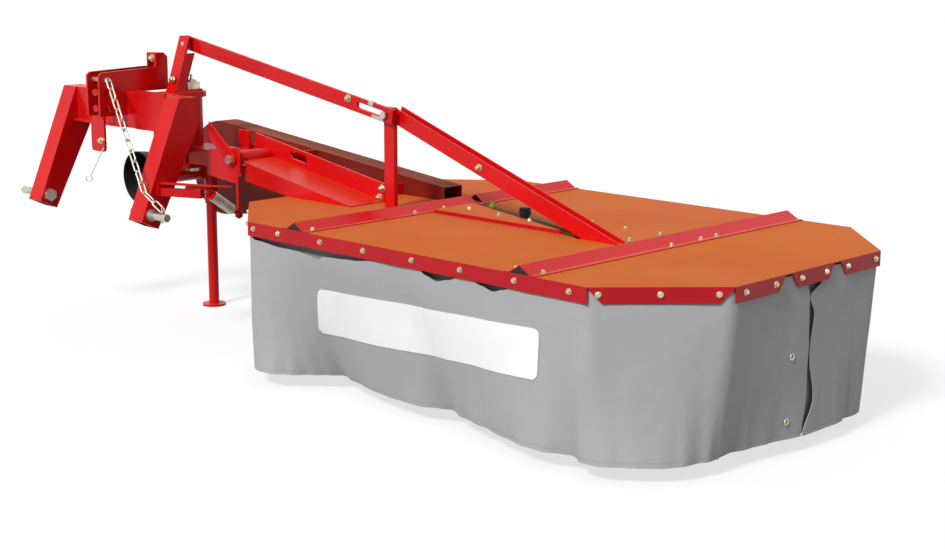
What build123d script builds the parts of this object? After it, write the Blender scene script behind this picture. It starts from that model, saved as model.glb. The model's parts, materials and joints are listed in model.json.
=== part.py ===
from build123d import *
import os
from math import acos, atan2, cos, hypot, pi, sin

# Drum mower for a three-point linkage: two drums under a sheet cover with a fabric
# skirt, carried on a boom beside the hitch frame, with a belt drive and a stay bar.
# Lengths are in millimetres. While the model is drawn, x runs along the cover from
# its hitch end, y runs back from its front edge and z runs up from the floor. At the
# end everything is shifted so that the origin lies on the floor below the middle.

# Clearances
PAINT_GAP = 0.3
RUNNING_FIT = 0.05
PIN_FIT = 0.05
SWING_GAP = 5.0

# Sheet and plate stock
SHEET = 3.0
PLATE = 8.0
HEAVY_PLATE = 10.0
BOX_WALL = 6.0

# Cover
COVER_LENGTH = 2000.0
COVER_WIDTH = 1277.0
COVER_TOP = 542.0
FLANGE_DEPTH = 45.0
INNER_CHAMFER_X = 311.0
INNER_CHAMFER_Y = 250.0
OUTER_CHAMFER_X = 275.0
OUTER_CHAMFER_Y = 282.0
SEAM_GAP = 1.0
FRONT_SEAM_Y = 531.0

GUARD_SLOT_BOTTOM_Z = 380.0
SLOT_CLEARANCE = 6.0

# Reliefs between the lengths of the flange
RELIEF_Y = (525.0, 767.0)
RELIEF_TOP_WIDTH = 32.0
RELIEF_BOTTOM_WIDTH = 96.0
RELIEF_CORNER_WIDTH = 45.0

# Groove in the rear sheet over the gear beam, and the raised plate beside it
GROOVE_START = (625.0, 737.0)
GROOVE_END = (1262.0, 525.0)
GROOVE_WIDTH = 24.0
CENTRE_PLATE_HEIGHT = 12.0
CENTRE_PLATE_GAP = 6.0

# Ridges across the cover
RIDGE_X = (543.0, 1489.0)
RIDGE_HALF_WIDTH = 40.0
RIDGE_FLANGE = 20.0
RIDGE_HEIGHT = 26.0
RIDGE_NOTCH = (770.0, 800.0)

# Skirt
SKIRT_THICKNESS = 4.0
SKIRT_HEM_Z = 50.0
SKIRT_TOP_GAP = 6.0
SKIRT_SPLIT_Y = 610.0
SKIRT_INNER_SPLIT_Y = 640.0

# Drums, from the beam down
DRUM_SPACING = 920.0
FIRST_DRUM_X = 540.0
DRUM_PHASE = (30.0, 90.0)
DRUM_TOP_Z = 446.0
DRUM_RADIUS = 235.0
DRUM_CAP_RADIUS = 205.0
DRUM_CAP_DROP = 34.0
DRUM_WALL = 5.0
DRUM_FLARE_Z = 130.0
DISC_RADIUS = 400.0
DISC_TOP_Z = 82.0
DISC_THICKNESS = 6.0
KNIFE_CIRCLE_RADIUS = 465.0
KNIFE_PIN_INSET = 15.0
KNIFE_WIDTH = 40.0
KNIFE_THICKNESS = 4.0
KNIFE_COUNT = 3
KNIFE_PIN_RADIUS = 8.0
SHAFT_RADIUS = 25.0
BEARING_RADIUS = 110.0
SKID_RADIUS = 300.0
SKID_FLAT_RADIUS = 190.0
SKID_RISE = 26.0
SKID_THICKNESS = 6.0
SKID_HUB_RADIUS = 60.0
SKID_SHAFT_RADIUS = 20.0

# Gear beam under the cover
BEAM_HALF_WIDTH = 80.0
BEAM_DEPTH = 78.0
BEAM_OVERHANG = 150.0

# Hitch frame
LEG_INNER_X = -490.0
LEG_WIDTH = 84.0
LEG_SPREAD = 667.0
LEG_TOP_Z = 865.0
LEG_OUTLINE = (
    ("y", "z"),
    (266.0, 865.0),
    (344.0, 865.0),
    (344.0, 759.0),
    (158.0, 408.0),
    (88.7, 440.5),
)
HITCH_BEAM_FRONT_Y = 270.0
HITCH_BEAM_BACK_Y = 352.0
HITCH_BEAM_BOTTOM_Z = 735.0
BEAM_PLATE_WIDTH = 188.0
BEAM_PLATE_RISE = 12.0
BEAM_PLATE_CORNER = 15.0
BEAM_LIP_DEPTH = 18.0
BEAM_LIP_END_X = -760.0
LOWER_PIN_Y = 128.0
LOWER_PIN_Z = 461.5
LOWER_PIN_RADIUS = 14.0
LOWER_PIN_REACH = 98.0
LOWER_PIN_COLLAR = 10.0
CHAINED_LEG = "inner"
NUT_THICKNESS = 16.0

# Top link cheeks
CHEEK_X = -781.5
CHEEK_HALF_GAP = 33.0
CHEEK_OUTLINE = (
    ("y", "z"),
    (153.0, 782.0),
    (270.0, 782.0),
    (270.0, 865.0),
    (456.0, 865.0),
    (456.0, 946.0),
    (410.0, 951.0),
    (166.0, 942.0),
    (153.0, 930.0),
)
TOP_LINK_HOLE_RADIUS = 12.75
TOP_LINK_HOLES = (
    ("y", "z"),
    (184.0, 866.0),
    (184.0, 806.0),
)
LATCH_FRONT_Y = 403.0
LATCH_REAR_Y = 456.0
LATCH_BOTTOM_Z = 930.0
LATCH_TOP_Z = 1003.0
LATCH_WIDTH = 58.0
LATCH_CHAMFER = 16.0
HOOK_PIN_Y = 180.0
HOOK_PIN_Z = 914.0
HOOK_PIN_RADIUS = 9.0

# Lug plate under the cheeks and the spring clip hung on it
CHEEK_LUG_Y = 166.0
CHEEK_LUG_DROP = 130.0
CHEEK_LUG_CORNER = 14.0
CLIP_WIRE_RADIUS = 2.0
CLIP_TOP = (-742.0, CHEEK_LUG_Y - CLIP_WIRE_RADIUS - PAINT_GAP, 668.0)
CLIP_RING = (-768.0, 118.0, 566.0)
CLIP_RING_RADIUS = 11.0

# Chain from the hook pin to the inner lower pin
CHAIN_KNEE = (-404.0, 102.0, 545.0)
CHAIN_UPPER_LINKS = 11
CHAIN_LOWER_LINKS = 2
CHAIN_WIRE = 6.0
CHAIN_WIDTH = 26.0
CHAIN_STUD_RADIUS = 3.0
CHAIN_STUD_LENGTH = 24.0
CHAIN_TIP_INSET = 30.0
LINCH_HOLE_RADIUS = 5.5
LINCH_HOLE_INSET = 16.0
LINK_SLACK = 0.4
LINK_SEAT = 6.8

# Breakaway link between the inner leg and the carrier
BREAK_Y = 178.0
BREAK_Z = 555.0
BREAK_JAW_END = (-252.0, 240.0)
BREAK_STRIP_TIP = (-160.0, 300.0)
BREAK_ARM_HEIGHT = 28.0
BREAK_NOSE_THICKNESS = 8.0
BREAK_NOSE_GAP = 3.0
BREAK_SPRING_START = (-240.0, 258.0, 546.0)
BREAK_ANCHOR = (-262.0, 407.0, 448.0)
BREAK_ROD_RADIUS = 7.0
SPRING_RADIUS = 17.0
SPRING_WIRE_RADIUS = 2.6
SPRING_LENGTH = 120.0
SPRING_TURNS = 12

# Swing pivot
PIVOT_X = -640.0
PIVOT_Y = 490.0
PIVOT_PIN_RADIUS = 20.0
PIVOT_HUB_RADIUS = 40.0
LUG_THICKNESS = 20.0
UPPER_LUG_TOP_Z = 863.0
LOWER_LUG_BOTTOM_Z = 580.0
LUG_HALF_WIDTH = 55.0
BRACKET_PLATE = 20.0
BRACKET_SHELF_Z = 640.0
BRACKET_WEB = 12.0
BELL_SWEEP_RADIUS = 80.0

# Tilt hinge and carrier arm
HINGE_X = -285.0
HINGE_Z = 647.0
HINGE_PIN_RADIUS = 10.0
SLEEVE_RADIUS = 28.0
ARM_FRONT_Y = 430.0
ARM_REAR_Y = 556.0
ARM_BOTTOM_Z = 576.0
ARM_TOP_Z = 661.0
ARM_END_X = -340.0
EAR_FRONT_Y = 402.0
EAR_REAR_Y = 586.0
BRACE_END = (-411.0, 714.0, 772.0)
BRACE_EYE_RADIUS = 24.0
ANCHOR_PLATE_X = (-460.0, -396.0)
ANCHOR_PLATE_Y = 566.0
ANCHOR_PLATE_TOP_Z = 727.0

# Boom of the cutter
BOOM_FRONT_Y = 418.0
BOOM_REAR_Y = 572.0
BOOM_START_X = -228.0
BOOM_END_X = 330.0
BOOM_SLOPE = 0.1667
BOOM_LIP = 60.0
BOOM_LIP_START_X = -367.0
LIP_SLOT_X = -120.0
LIP_SLOT_LENGTH = 90.0
LIP_SLOT_WIDTH = 28.0
LIP_SLOT_DROP = 26.0
BOOM_FRONT_DEPTH = 66.0

# Stay bar between the upright and the post
STAY_PIVOT_Z = 1040.0
STAY_Y = 490.0
STAY_THICKNESS = 12.0
STAY_WIDTH = 50.0
STAY_PIN_RADIUS = 8.0
STAY_SLOT = 132.0
STAY_SLOT_PLAY = 2.5
STAY_NOSE = 35.0
POST_X = 435.0
POST_PIN_Z = 855.0
POST_WIDTH = 48.0
POST_THICKNESS = 16.0
STRUT_DEPTH = 50.0
STRUT_WIDTH = 40.0
STRUT_WALL = 5.0
STRUT_FOOT_X = 1345.0

# Belt drive
INPUT_X = -805.0
INPUT_Z = 532.0
GUARD_RADIUS = 185.0
GUARD_FRONT_Y = 743.0
GUARD_WIDTH = 87.0
GUARD_END_X = 450.0
GUARD_END_TOP_Z = 587.0
GUARD_END_BOTTOM_Z = 500.0
GUARD_WALL = 3.0
BEARING_TUBE_RADIUS = 35.0
BEARING_TUBE_START_Y = 430.0
INPUT_SHAFT_RADIUS = 17.45
SPLINE_COUNT = 6
SPLINE_DEPTH = 2.8
SPLINE_WIDTH = 8.7
INPUT_SHAFT_START_Y = 362.0
BELL_RADIUS = 100.0
BELL_DEPTH = 82.0
BELL_START_Y = 352.0

# Parking stand
STAND_X = -746.0
STAND_Y = 645.0
STAND_RADIUS = 20.0
STAND_TOP_Z = 585.0
STAND_FOOT_RADIUS = 46.0
STAND_FOOT_THICKNESS = 8.0
SLEEVE_BOTTOM_Z = 410.0
SLEEVE_TOP_Z = 570.0
SLEEVE_WALL = 4.0


def points_of(table):
    """Rows of a table of named columns, without its heading row."""
    return list(table[1:])


def block(x0, x1, y0, y1, z0, z1):
    """Rectangular solid between two corners."""
    centre = Pos((x0 + x1) / 2, (y0 + y1) / 2, (z0 + z1) / 2)
    return centre * Box(x1 - x0, y1 - y0, z1 - z0)


def slab_x(outline, x0, x1):
    """Outline in y and z, extruded along x."""
    face = make_face(Polyline([(x0, y, z) for y, z in outline], close=True))
    return extrude(face, amount=x1 - x0, dir=(1, 0, 0))


def slab_y(outline, y0, y1):
    """Outline in x and z, extruded along y."""
    face = make_face(Polyline([(x, y0, z) for x, z in outline], close=True))
    return extrude(face, amount=y1 - y0, dir=(0, 1, 0))


def slab_z(outline, z0, z1):
    """Outline in x and y, extruded along z."""
    face = make_face(Polyline([(x, y, z0) for x, y in outline], close=True))
    return extrude(face, amount=z1 - z0, dir=(0, 0, 1))


def rod(start, end, radius):
    """Round bar between two points."""
    along = Vector(*end) - Vector(*start)
    return extrude(Plane(origin=start, z_dir=along) * Circle(radius), amount=along.length)


def hexagon_bar(start, end, across_flats):
    """Six-sided bar between two points, as a nut or a bolt head."""
    along = Vector(*end) - Vector(*start)
    section = RegularPolygon(across_flats / 2, 6, major_radius=False)
    return extrude(Plane(origin=start, z_dir=along) * section, amount=along.length)


def turned(profile, x, y):
    """Profile of radius and height, turned about a vertical axis at x, y."""
    face = make_face(Polyline([(r, 0, z) for r, z in profile], close=True))
    return Pos(x, y, 0) * revolve(face, axis=Axis.Z)


def cover_outline(inset):
    """Eight-cornered plan of the cover, moved in from its edge."""
    corner = make_face(
        Polyline(
            [
                (0, INNER_CHAMFER_Y),
                (INNER_CHAMFER_X, 0),
                (COVER_LENGTH - OUTER_CHAMFER_X, 0),
                (COVER_LENGTH, OUTER_CHAMFER_Y),
                (COVER_LENGTH, COVER_WIDTH - OUTER_CHAMFER_Y),
                (COVER_LENGTH - OUTER_CHAMFER_X, COVER_WIDTH),
                (INNER_CHAMFER_X, COVER_WIDTH),
                (0, COVER_WIDTH - INNER_CHAMFER_Y),
            ],
            close=True,
        )
    )
    return offset(corner, amount=-inset, kind=Kind.INTERSECTION) if inset else corner


def cover_ring(inset, thickness, z0, z1):
    """Band that follows the cover's edge."""
    outer = extrude(Pos(0, 0, z0) * cover_outline(inset), amount=z1 - z0)
    inner = extrude(Pos(0, 0, z0) * cover_outline(inset + thickness), amount=z1 - z0)
    return outer - inner


def guard_slot(clearance):
    """Space that the belt guard needs through the cover and the skirt."""
    return block(
        -SHEET - FLANGE_DEPTH,
        GUARD_END_X + clearance,
        GUARD_FRONT_Y - clearance,
        GUARD_FRONT_Y + GUARD_WIDTH + clearance,
        GUARD_SLOT_BOTTOM_Z - clearance,
        COVER_TOP + FLANGE_DEPTH,
    )


def flange_relief(x, y, along, outline):
    """Cut through the flange at x, y, drawn along the flange and up."""
    outward = (along[1], -along[0], 0)
    plane = Plane(origin=(x, y, COVER_TOP), x_dir=(*along, 0), z_dir=outward)
    face = plane * make_face(Polyline(outline, close=True))
    return extrude(face, amount=2 * SHEET, both=True)


def flange_reliefs():
    """Splayed gaps in the outer end's flange and at both ends of each chamfer."""
    top = -SHEET
    low = -FLANGE_DEPTH - SHEET
    splay = [
        (-RELIEF_TOP_WIDTH / 2, top),
        (RELIEF_TOP_WIDTH / 2, top),
        (RELIEF_BOTTOM_WIDTH / 2, low),
        (-RELIEF_BOTTOM_WIDTH / 2, low),
    ]
    cuts = [flange_relief(COVER_LENGTH, y, (0, 1), splay) for y in RELIEF_Y]
    far_y = COVER_WIDTH
    far_x = COVER_LENGTH
    chamfers = (
        ((0, INNER_CHAMFER_Y), (INNER_CHAMFER_X, 0)),
        ((far_x - OUTER_CHAMFER_X, 0), (far_x, OUTER_CHAMFER_Y)),
        ((far_x, far_y - OUTER_CHAMFER_Y), (far_x - OUTER_CHAMFER_X, far_y)),
        ((INNER_CHAMFER_X, far_y), (0, far_y - INNER_CHAMFER_Y)),
    )
    for start, end in chamfers:
        length = hypot(end[0] - start[0], end[1] - start[1])
        along = ((end[0] - start[0]) / length, (end[1] - start[1]) / length)
        from_start = [(SHEET, top), (RELIEF_CORNER_WIDTH, low), (SHEET, low)]
        from_end = [(length - u, z) for u, z in from_start]
        for outline in (from_start, from_end):
            cuts.append(flange_relief(*start, along, outline))
    return cuts


def groove_side(offset_y):
    """Ends of a line beside the groove's middle, moved towards the front by offset_y."""
    run = Vector(*GROOVE_END) - Vector(*GROOVE_START)
    across = Vector(run.Y, -run.X, 0).normalized() * offset_y
    return Vector(*GROOVE_START) + across, Vector(*GROOVE_END) + across


def groove_cut():
    """Slanted groove through the rear sheet, open at the seam."""
    near = groove_side(GROOVE_WIDTH / 2)
    rear = groove_side(-GROOVE_WIDTH / 2)
    corners = [near[0], near[1], rear[1], rear[0]]
    return slab_z([(c.X, c.Y) for c in corners], COVER_TOP - 2 * SHEET, COVER_TOP + SHEET)


def make_centre_plate():
    """Raised three-cornered plate between the seam and the groove."""
    start, end = groove_side(GROOVE_WIDTH / 2 + CENTRE_PLATE_GAP)
    slope = (end.Y - start.Y) / (end.X - start.X)
    front_y = FRONT_SEAM_Y + SEAM_GAP + CENTRE_PLATE_GAP
    left_x = RIDGE_X[0] + RIDGE_HALF_WIDTH + RIDGE_FLANGE + CENTRE_PLATE_GAP
    rear_y = start.Y + slope * (left_x - start.X)
    tip_x = start.X + (front_y - start.Y) / slope
    outline = make_face(
        Polyline([(left_x, front_y), (tip_x, front_y), (left_x, rear_y)], close=True)
    )
    plate = extrude(Pos(0, 0, COVER_TOP) * outline, amount=CENTRE_PLATE_HEIGHT)
    inside = offset(outline, amount=-SHEET, kind=Kind.INTERSECTION)
    plate -= extrude(Pos(0, 0, COVER_TOP) * inside, amount=CENTRE_PLATE_HEIGHT - SHEET)
    return {"centre_plate": plate}


def make_cover():
    """Front and rear sheets with their flanges, the two ridges and the gear beam."""
    top = extrude(Pos(0, 0, COVER_TOP - SHEET) * cover_outline(0), amount=SHEET)
    flange = cover_ring(0, SHEET, COVER_TOP - FLANGE_DEPTH, COVER_TOP - SHEET)
    shell = top + flange - guard_slot(SLOT_CLEARANCE) - groove_cut()
    for cut in flange_reliefs():
        shell -= cut
    far = COVER_LENGTH + FLANGE_DEPTH
    low = COVER_TOP - 2 * FLANGE_DEPTH
    high = COVER_TOP + FLANGE_DEPTH
    front_half = block(-FLANGE_DEPTH, far, -SHEET, FRONT_SEAM_Y, low, high)
    rear_half = block(
        -FLANGE_DEPTH, far, FRONT_SEAM_Y + SEAM_GAP, COVER_WIDTH + SHEET, low, high
    )
    nodes = {"cover_front": shell & front_half, "cover_rear": shell & rear_half}
    names = ("ridge_inner", "ridge_outer")
    for name, x in zip(names, RIDGE_X):
        run = RIDGE_HALF_WIDTH + RIDGE_FLANGE
        outline = [
            (x - run, COVER_TOP),
            (x - RIDGE_HALF_WIDTH + SHEET, COVER_TOP),
            (x, COVER_TOP + RIDGE_HEIGHT - SHEET),
            (x + RIDGE_HALF_WIDTH - SHEET, COVER_TOP),
            (x + run, COVER_TOP),
            (x + run, COVER_TOP + SHEET),
            (x + RIDGE_HALF_WIDTH, COVER_TOP + SHEET),
            (x, COVER_TOP + RIDGE_HEIGHT),
            (x - RIDGE_HALF_WIDTH, COVER_TOP + SHEET),
            (x - run, COVER_TOP + SHEET),
        ]
        nodes[name] = slab_y(outline, 0, COVER_WIDTH)
    nodes[names[0]] -= block(
        RIDGE_X[0] - RIDGE_HALF_WIDTH,
        RIDGE_X[0] + RIDGE_HALF_WIDTH,
        *RIDGE_NOTCH,
        COVER_TOP + SHEET,
        COVER_TOP + RIDGE_HEIGHT + SHEET,
    )
    return nodes


def make_gear_beam():
    """Closed beam that holds both drums, with a bearing seat over each drum."""
    top = COVER_TOP - SHEET
    bottom = top - BEAM_DEPTH
    middle = COVER_WIDTH / 2
    beam = block(
        FIRST_DRUM_X - BEAM_OVERHANG,
        FIRST_DRUM_X + DRUM_SPACING + BEAM_OVERHANG,
        middle - BEAM_HALF_WIDTH,
        middle + BEAM_HALF_WIDTH,
        bottom,
        top,
    )
    for index in range(2):
        x = FIRST_DRUM_X + index * DRUM_SPACING
        seat_bottom = DRUM_TOP_Z + PAINT_GAP
        beam += rod((x, middle, seat_bottom), (x, middle, bottom), BEARING_RADIUS)
        bore = SHAFT_RADIUS + RUNNING_FIT
        beam -= rod((x, middle, seat_bottom), (x, middle, bottom + BEAM_DEPTH / 2), bore)
    return {"gear_beam": beam}


def make_skirt():
    """Plain fabric band below the flange, split at its outer slit and hitch end."""
    band = cover_ring(
        SHEET + PAINT_GAP,
        SKIRT_THICKNESS,
        SKIRT_HEM_Z,
        COVER_TOP - SHEET - SKIRT_TOP_GAP,
    )
    band -= guard_slot(SLOT_CLEARANCE)
    far = COVER_LENGTH + FLANGE_DEPTH
    front = block(COVER_LENGTH / 2, far, -SHEET, SKIRT_SPLIT_Y, 0, COVER_TOP)
    front += block(-SHEET, COVER_LENGTH / 2, -SHEET, SKIRT_INNER_SPLIT_Y, 0, COVER_TOP)
    return {"skirt_front": band & front, "skirt_rear": band - front}


def make_drum(index):
    """One drum shell with its shaft, its disc, knives and the skid below it."""
    x = FIRST_DRUM_X + index * DRUM_SPACING
    y = COVER_WIDTH / 2
    phase = DRUM_PHASE[index]
    shaft_top = DRUM_TOP_Z + BEAM_DEPTH / 2
    cap_low = DRUM_TOP_Z - DRUM_CAP_DROP
    disc_bottom = DISC_TOP_Z - DISC_THICKNESS
    shell = turned(
        [
            (0, DRUM_TOP_Z - DRUM_WALL),
            (DRUM_CAP_RADIUS, DRUM_TOP_Z - DRUM_WALL),
            (DRUM_RADIUS - DRUM_WALL, cap_low),
            (DRUM_RADIUS - DRUM_WALL, DRUM_FLARE_Z),
            (DISC_RADIUS - SWING_GAP, DISC_TOP_Z),
            (DISC_RADIUS, DISC_TOP_Z),
            (DISC_RADIUS, DISC_TOP_Z + DRUM_WALL),
            (DRUM_RADIUS, DRUM_FLARE_Z + DRUM_WALL),
            (DRUM_RADIUS, cap_low),
            (DRUM_CAP_RADIUS, DRUM_TOP_Z),
            (0, DRUM_TOP_Z),
        ],
        x,
        y,
    )
    shell += rod((x, y, DRUM_TOP_Z - DRUM_WALL), (x, y, shaft_top), SHAFT_RADIUS)
    disc = rod((x, y, disc_bottom), (x, y, DISC_TOP_Z), DISC_RADIUS)
    hub_top = disc_bottom - SKID_THICKNESS
    disc += rod((x, y, SKID_RISE), (x, y, disc_bottom), SKID_SHAFT_RADIUS)
    pin_orbit = DISC_RADIUS - KNIFE_PIN_INSET
    knives = []
    knife_top = disc_bottom - PAINT_GAP
    for count in range(KNIFE_COUNT):
        turn = phase + 360.0 * count / KNIFE_COUNT
        place = Pos(x, y, 0) * Rot(0, 0, turn)
        inner = pin_orbit - 2 * KNIFE_PIN_RADIUS
        half = KNIFE_WIDTH / 2
        pin = rod(
            (pin_orbit, 0, knife_top - KNIFE_THICKNESS - PLATE / 2),
            (pin_orbit, 0, disc_bottom),
            KNIFE_PIN_RADIUS,
        )
        disc += place * pin
        blade = block(
            inner, KNIFE_CIRCLE_RADIUS, -half, half, knife_top - KNIFE_THICKNESS, knife_top
        )
        blade -= rod(
            (pin_orbit, 0, 0),
            (pin_orbit, 0, disc_bottom),
            KNIFE_PIN_RADIUS + PAINT_GAP,
        )
        knives.append(place * blade)
    skid = turned(
        [
            (SKID_SHAFT_RADIUS + RUNNING_FIT, 0),
            (SKID_FLAT_RADIUS, 0),
            (SKID_RADIUS, SKID_RISE),
            (SKID_RADIUS, SKID_RISE + SKID_THICKNESS),
            (SKID_FLAT_RADIUS, SKID_THICKNESS),
            (SKID_HUB_RADIUS, SKID_THICKNESS),
            (SKID_HUB_RADIUS, hub_top),
            (SKID_SHAFT_RADIUS + RUNNING_FIT, hub_top),
        ],
        x,
        y,
    )
    side = ("inner", "outer")[index]
    return {
        f"drum_{side}": shell,
        f"knife_disc_{side}": disc,
        f"knives_{side}": Compound(children=knives),
        f"skid_{side}": skid,
    }


def make_hitch():
    """Two hollow legs, the beam between them, the lower pins and the top cheeks."""
    nodes = {}
    outline = points_of(LEG_OUTLINE)
    for name, x0, out in (
        ("inner", LEG_INNER_X, 1),
        ("outer", LEG_INNER_X - LEG_SPREAD + LEG_WIDTH, -1),
    ):
        low = min(x0, x0 + out * LEG_WIDTH)
        leg = slab_x(outline, low, low + LEG_WIDTH)
        inner_outline = offset(
            make_face(Polyline([(0, y, z) for y, z in outline], close=True)),
            amount=-BOX_WALL,
            kind=Kind.INTERSECTION,
        )
        cavity = extrude(
            Pos(low + BOX_WALL, 0, 0) * inner_outline,
            amount=LEG_WIDTH - 2 * BOX_WALL,
            dir=(1, 0, 0),
        )
        lean = Vector(0, outline[4][0] - outline[0][0], outline[4][1] - outline[0][1])
        drop = lean.normalized() * (4 * BOX_WALL)
        leg -= cavity
        leg -= Pos(drop) * cavity
        face_x = x0 + out * LEG_WIDTH
        inside_x = x0 - out * NUT_THICKNESS
        tip_x = face_x + out * LOWER_PIN_REACH
        through = LOWER_PIN_RADIUS + PIN_FIT
        leg -= rod(
            (low - BOX_WALL, LOWER_PIN_Y, LOWER_PIN_Z),
            (low + LEG_WIDTH + BOX_WALL, LOWER_PIN_Y, LOWER_PIN_Z),
            through,
        )
        nodes[f"hitch_leg_{name}"] = leg
        pin = rod(
            (inside_x, LOWER_PIN_Y, LOWER_PIN_Z),
            (tip_x, LOWER_PIN_Y, LOWER_PIN_Z),
            LOWER_PIN_RADIUS,
        )
        pin += rod(
            (face_x, LOWER_PIN_Y, LOWER_PIN_Z),
            (face_x + out * LOWER_PIN_COLLAR, LOWER_PIN_Y, LOWER_PIN_Z),
            LOWER_PIN_RADIUS * 1.5,
        )
        pin += hexagon_bar(
            (inside_x, LOWER_PIN_Y, LOWER_PIN_Z),
            (x0, LOWER_PIN_Y, LOWER_PIN_Z),
            LOWER_PIN_RADIUS * 3,
        )
        chained = name == CHAINED_LEG
        stud_x = tip_x - out * (CHAIN_TIP_INSET if chained else LINCH_HOLE_INSET)
        stud_low = LOWER_PIN_Z - LOWER_PIN_RADIUS - PLATE
        stud_high = LOWER_PIN_Z + LOWER_PIN_RADIUS + CHAIN_STUD_LENGTH
        stud_ends = ((stud_x, LOWER_PIN_Y, stud_low), (stud_x, LOWER_PIN_Y, stud_high))
        if chained:
            pin += rod(*stud_ends, CHAIN_STUD_RADIUS)
        else:
            pin -= rod(*stud_ends, LINCH_HOLE_RADIUS)
        nodes[f"lower_pin_{name}"] = pin
    beam_x = (LEG_INNER_X - LEG_SPREAD + LEG_WIDTH, LEG_INNER_X)
    beam = block(
        *beam_x, HITCH_BEAM_FRONT_Y, HITCH_BEAM_BACK_Y, HITCH_BEAM_BOTTOM_Z, LEG_TOP_Z
    )
    beam -= block(
        *beam_x,
        HITCH_BEAM_FRONT_Y + BOX_WALL,
        HITCH_BEAM_BACK_Y - BOX_WALL,
        HITCH_BEAM_BOTTOM_Z + BOX_WALL,
        LEG_TOP_Z - BOX_WALL,
    )
    front_plate = block(
        LEG_INNER_X - BEAM_PLATE_WIDTH,
        LEG_INNER_X,
        HITCH_BEAM_FRONT_Y - PLATE,
        HITCH_BEAM_FRONT_Y,
        HITCH_BEAM_BOTTOM_Z,
        LEG_TOP_Z + BEAM_PLATE_RISE,
    )
    corner = front_plate.edges().filter_by(Axis.Y).sort_by(lambda e: e.center().X - e.center().Z)
    beam += fillet(corner[0], BEAM_PLATE_CORNER)
    beam += block(
        beam_x[0],
        BEAM_LIP_END_X,
        HITCH_BEAM_FRONT_Y - BEAM_LIP_DEPTH,
        HITCH_BEAM_FRONT_Y,
        HITCH_BEAM_BOTTOM_Z,
        HITCH_BEAM_BOTTOM_Z + BOX_WALL,
    )
    nodes["hitch_beam"] = beam
    cheeks = []
    for side in (-1, 1):
        near = CHEEK_X + side * CHEEK_HALF_GAP
        far = near + side * HEAVY_PLATE
        cheek = slab_x(points_of(CHEEK_OUTLINE), min(near, far), max(near, far))
        for y, z in points_of(TOP_LINK_HOLES):
            cheek -= rod((near - side, y, z), (far + side, y, z), TOP_LINK_HOLE_RADIUS)
        cheek -= rod(
            (near - side, HOOK_PIN_Y, HOOK_PIN_Z),
            (far + side, HOOK_PIN_Y, HOOK_PIN_Z),
            HOOK_PIN_RADIUS + PIN_FIT,
        )
        if side == 1:
            cheek += make_latch_lug(far)
        cheeks.append(cheek)
    nodes["top_link_cheeks"] = Compound(children=cheeks)
    return nodes


def make_latch_lug(face_x):
    """Folded lug on top of the inner cheek, in which the transport latch rests."""
    outline = [
        (LATCH_FRONT_Y, LATCH_BOTTOM_Z),
        (LATCH_REAR_Y, LATCH_BOTTOM_Z),
        (LATCH_REAR_Y, LATCH_TOP_Z - LATCH_CHAMFER),
        (LATCH_REAR_Y - LATCH_CHAMFER, LATCH_TOP_Z),
        (LATCH_FRONT_Y, LATCH_TOP_Z),
    ]
    lug = slab_x(outline, face_x - LATCH_WIDTH, face_x)
    lug -= block(
        face_x - LATCH_WIDTH + BOX_WALL,
        face_x - HEAVY_PLATE,
        LATCH_FRONT_Y - 1,
        LATCH_REAR_Y + 1,
        LATCH_BOTTOM_Z - 1,
        LATCH_TOP_Z - LATCH_CHAMFER - BOX_WALL,
    )
    return lug


def chain_link(centre, along, normal, length):
    """One oval link of round wire."""
    frame = Plane(origin=centre, x_dir=along, z_dir=normal)
    track = (frame * SlotOverall(length - CHAIN_WIRE, CHAIN_WIDTH - CHAIN_WIRE)).face()
    path = track.outer_wire()
    section = Plane(origin=path @ 0, z_dir=path % 0) * Circle(CHAIN_WIRE / 2)
    return sweep(section, path=path)


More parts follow.
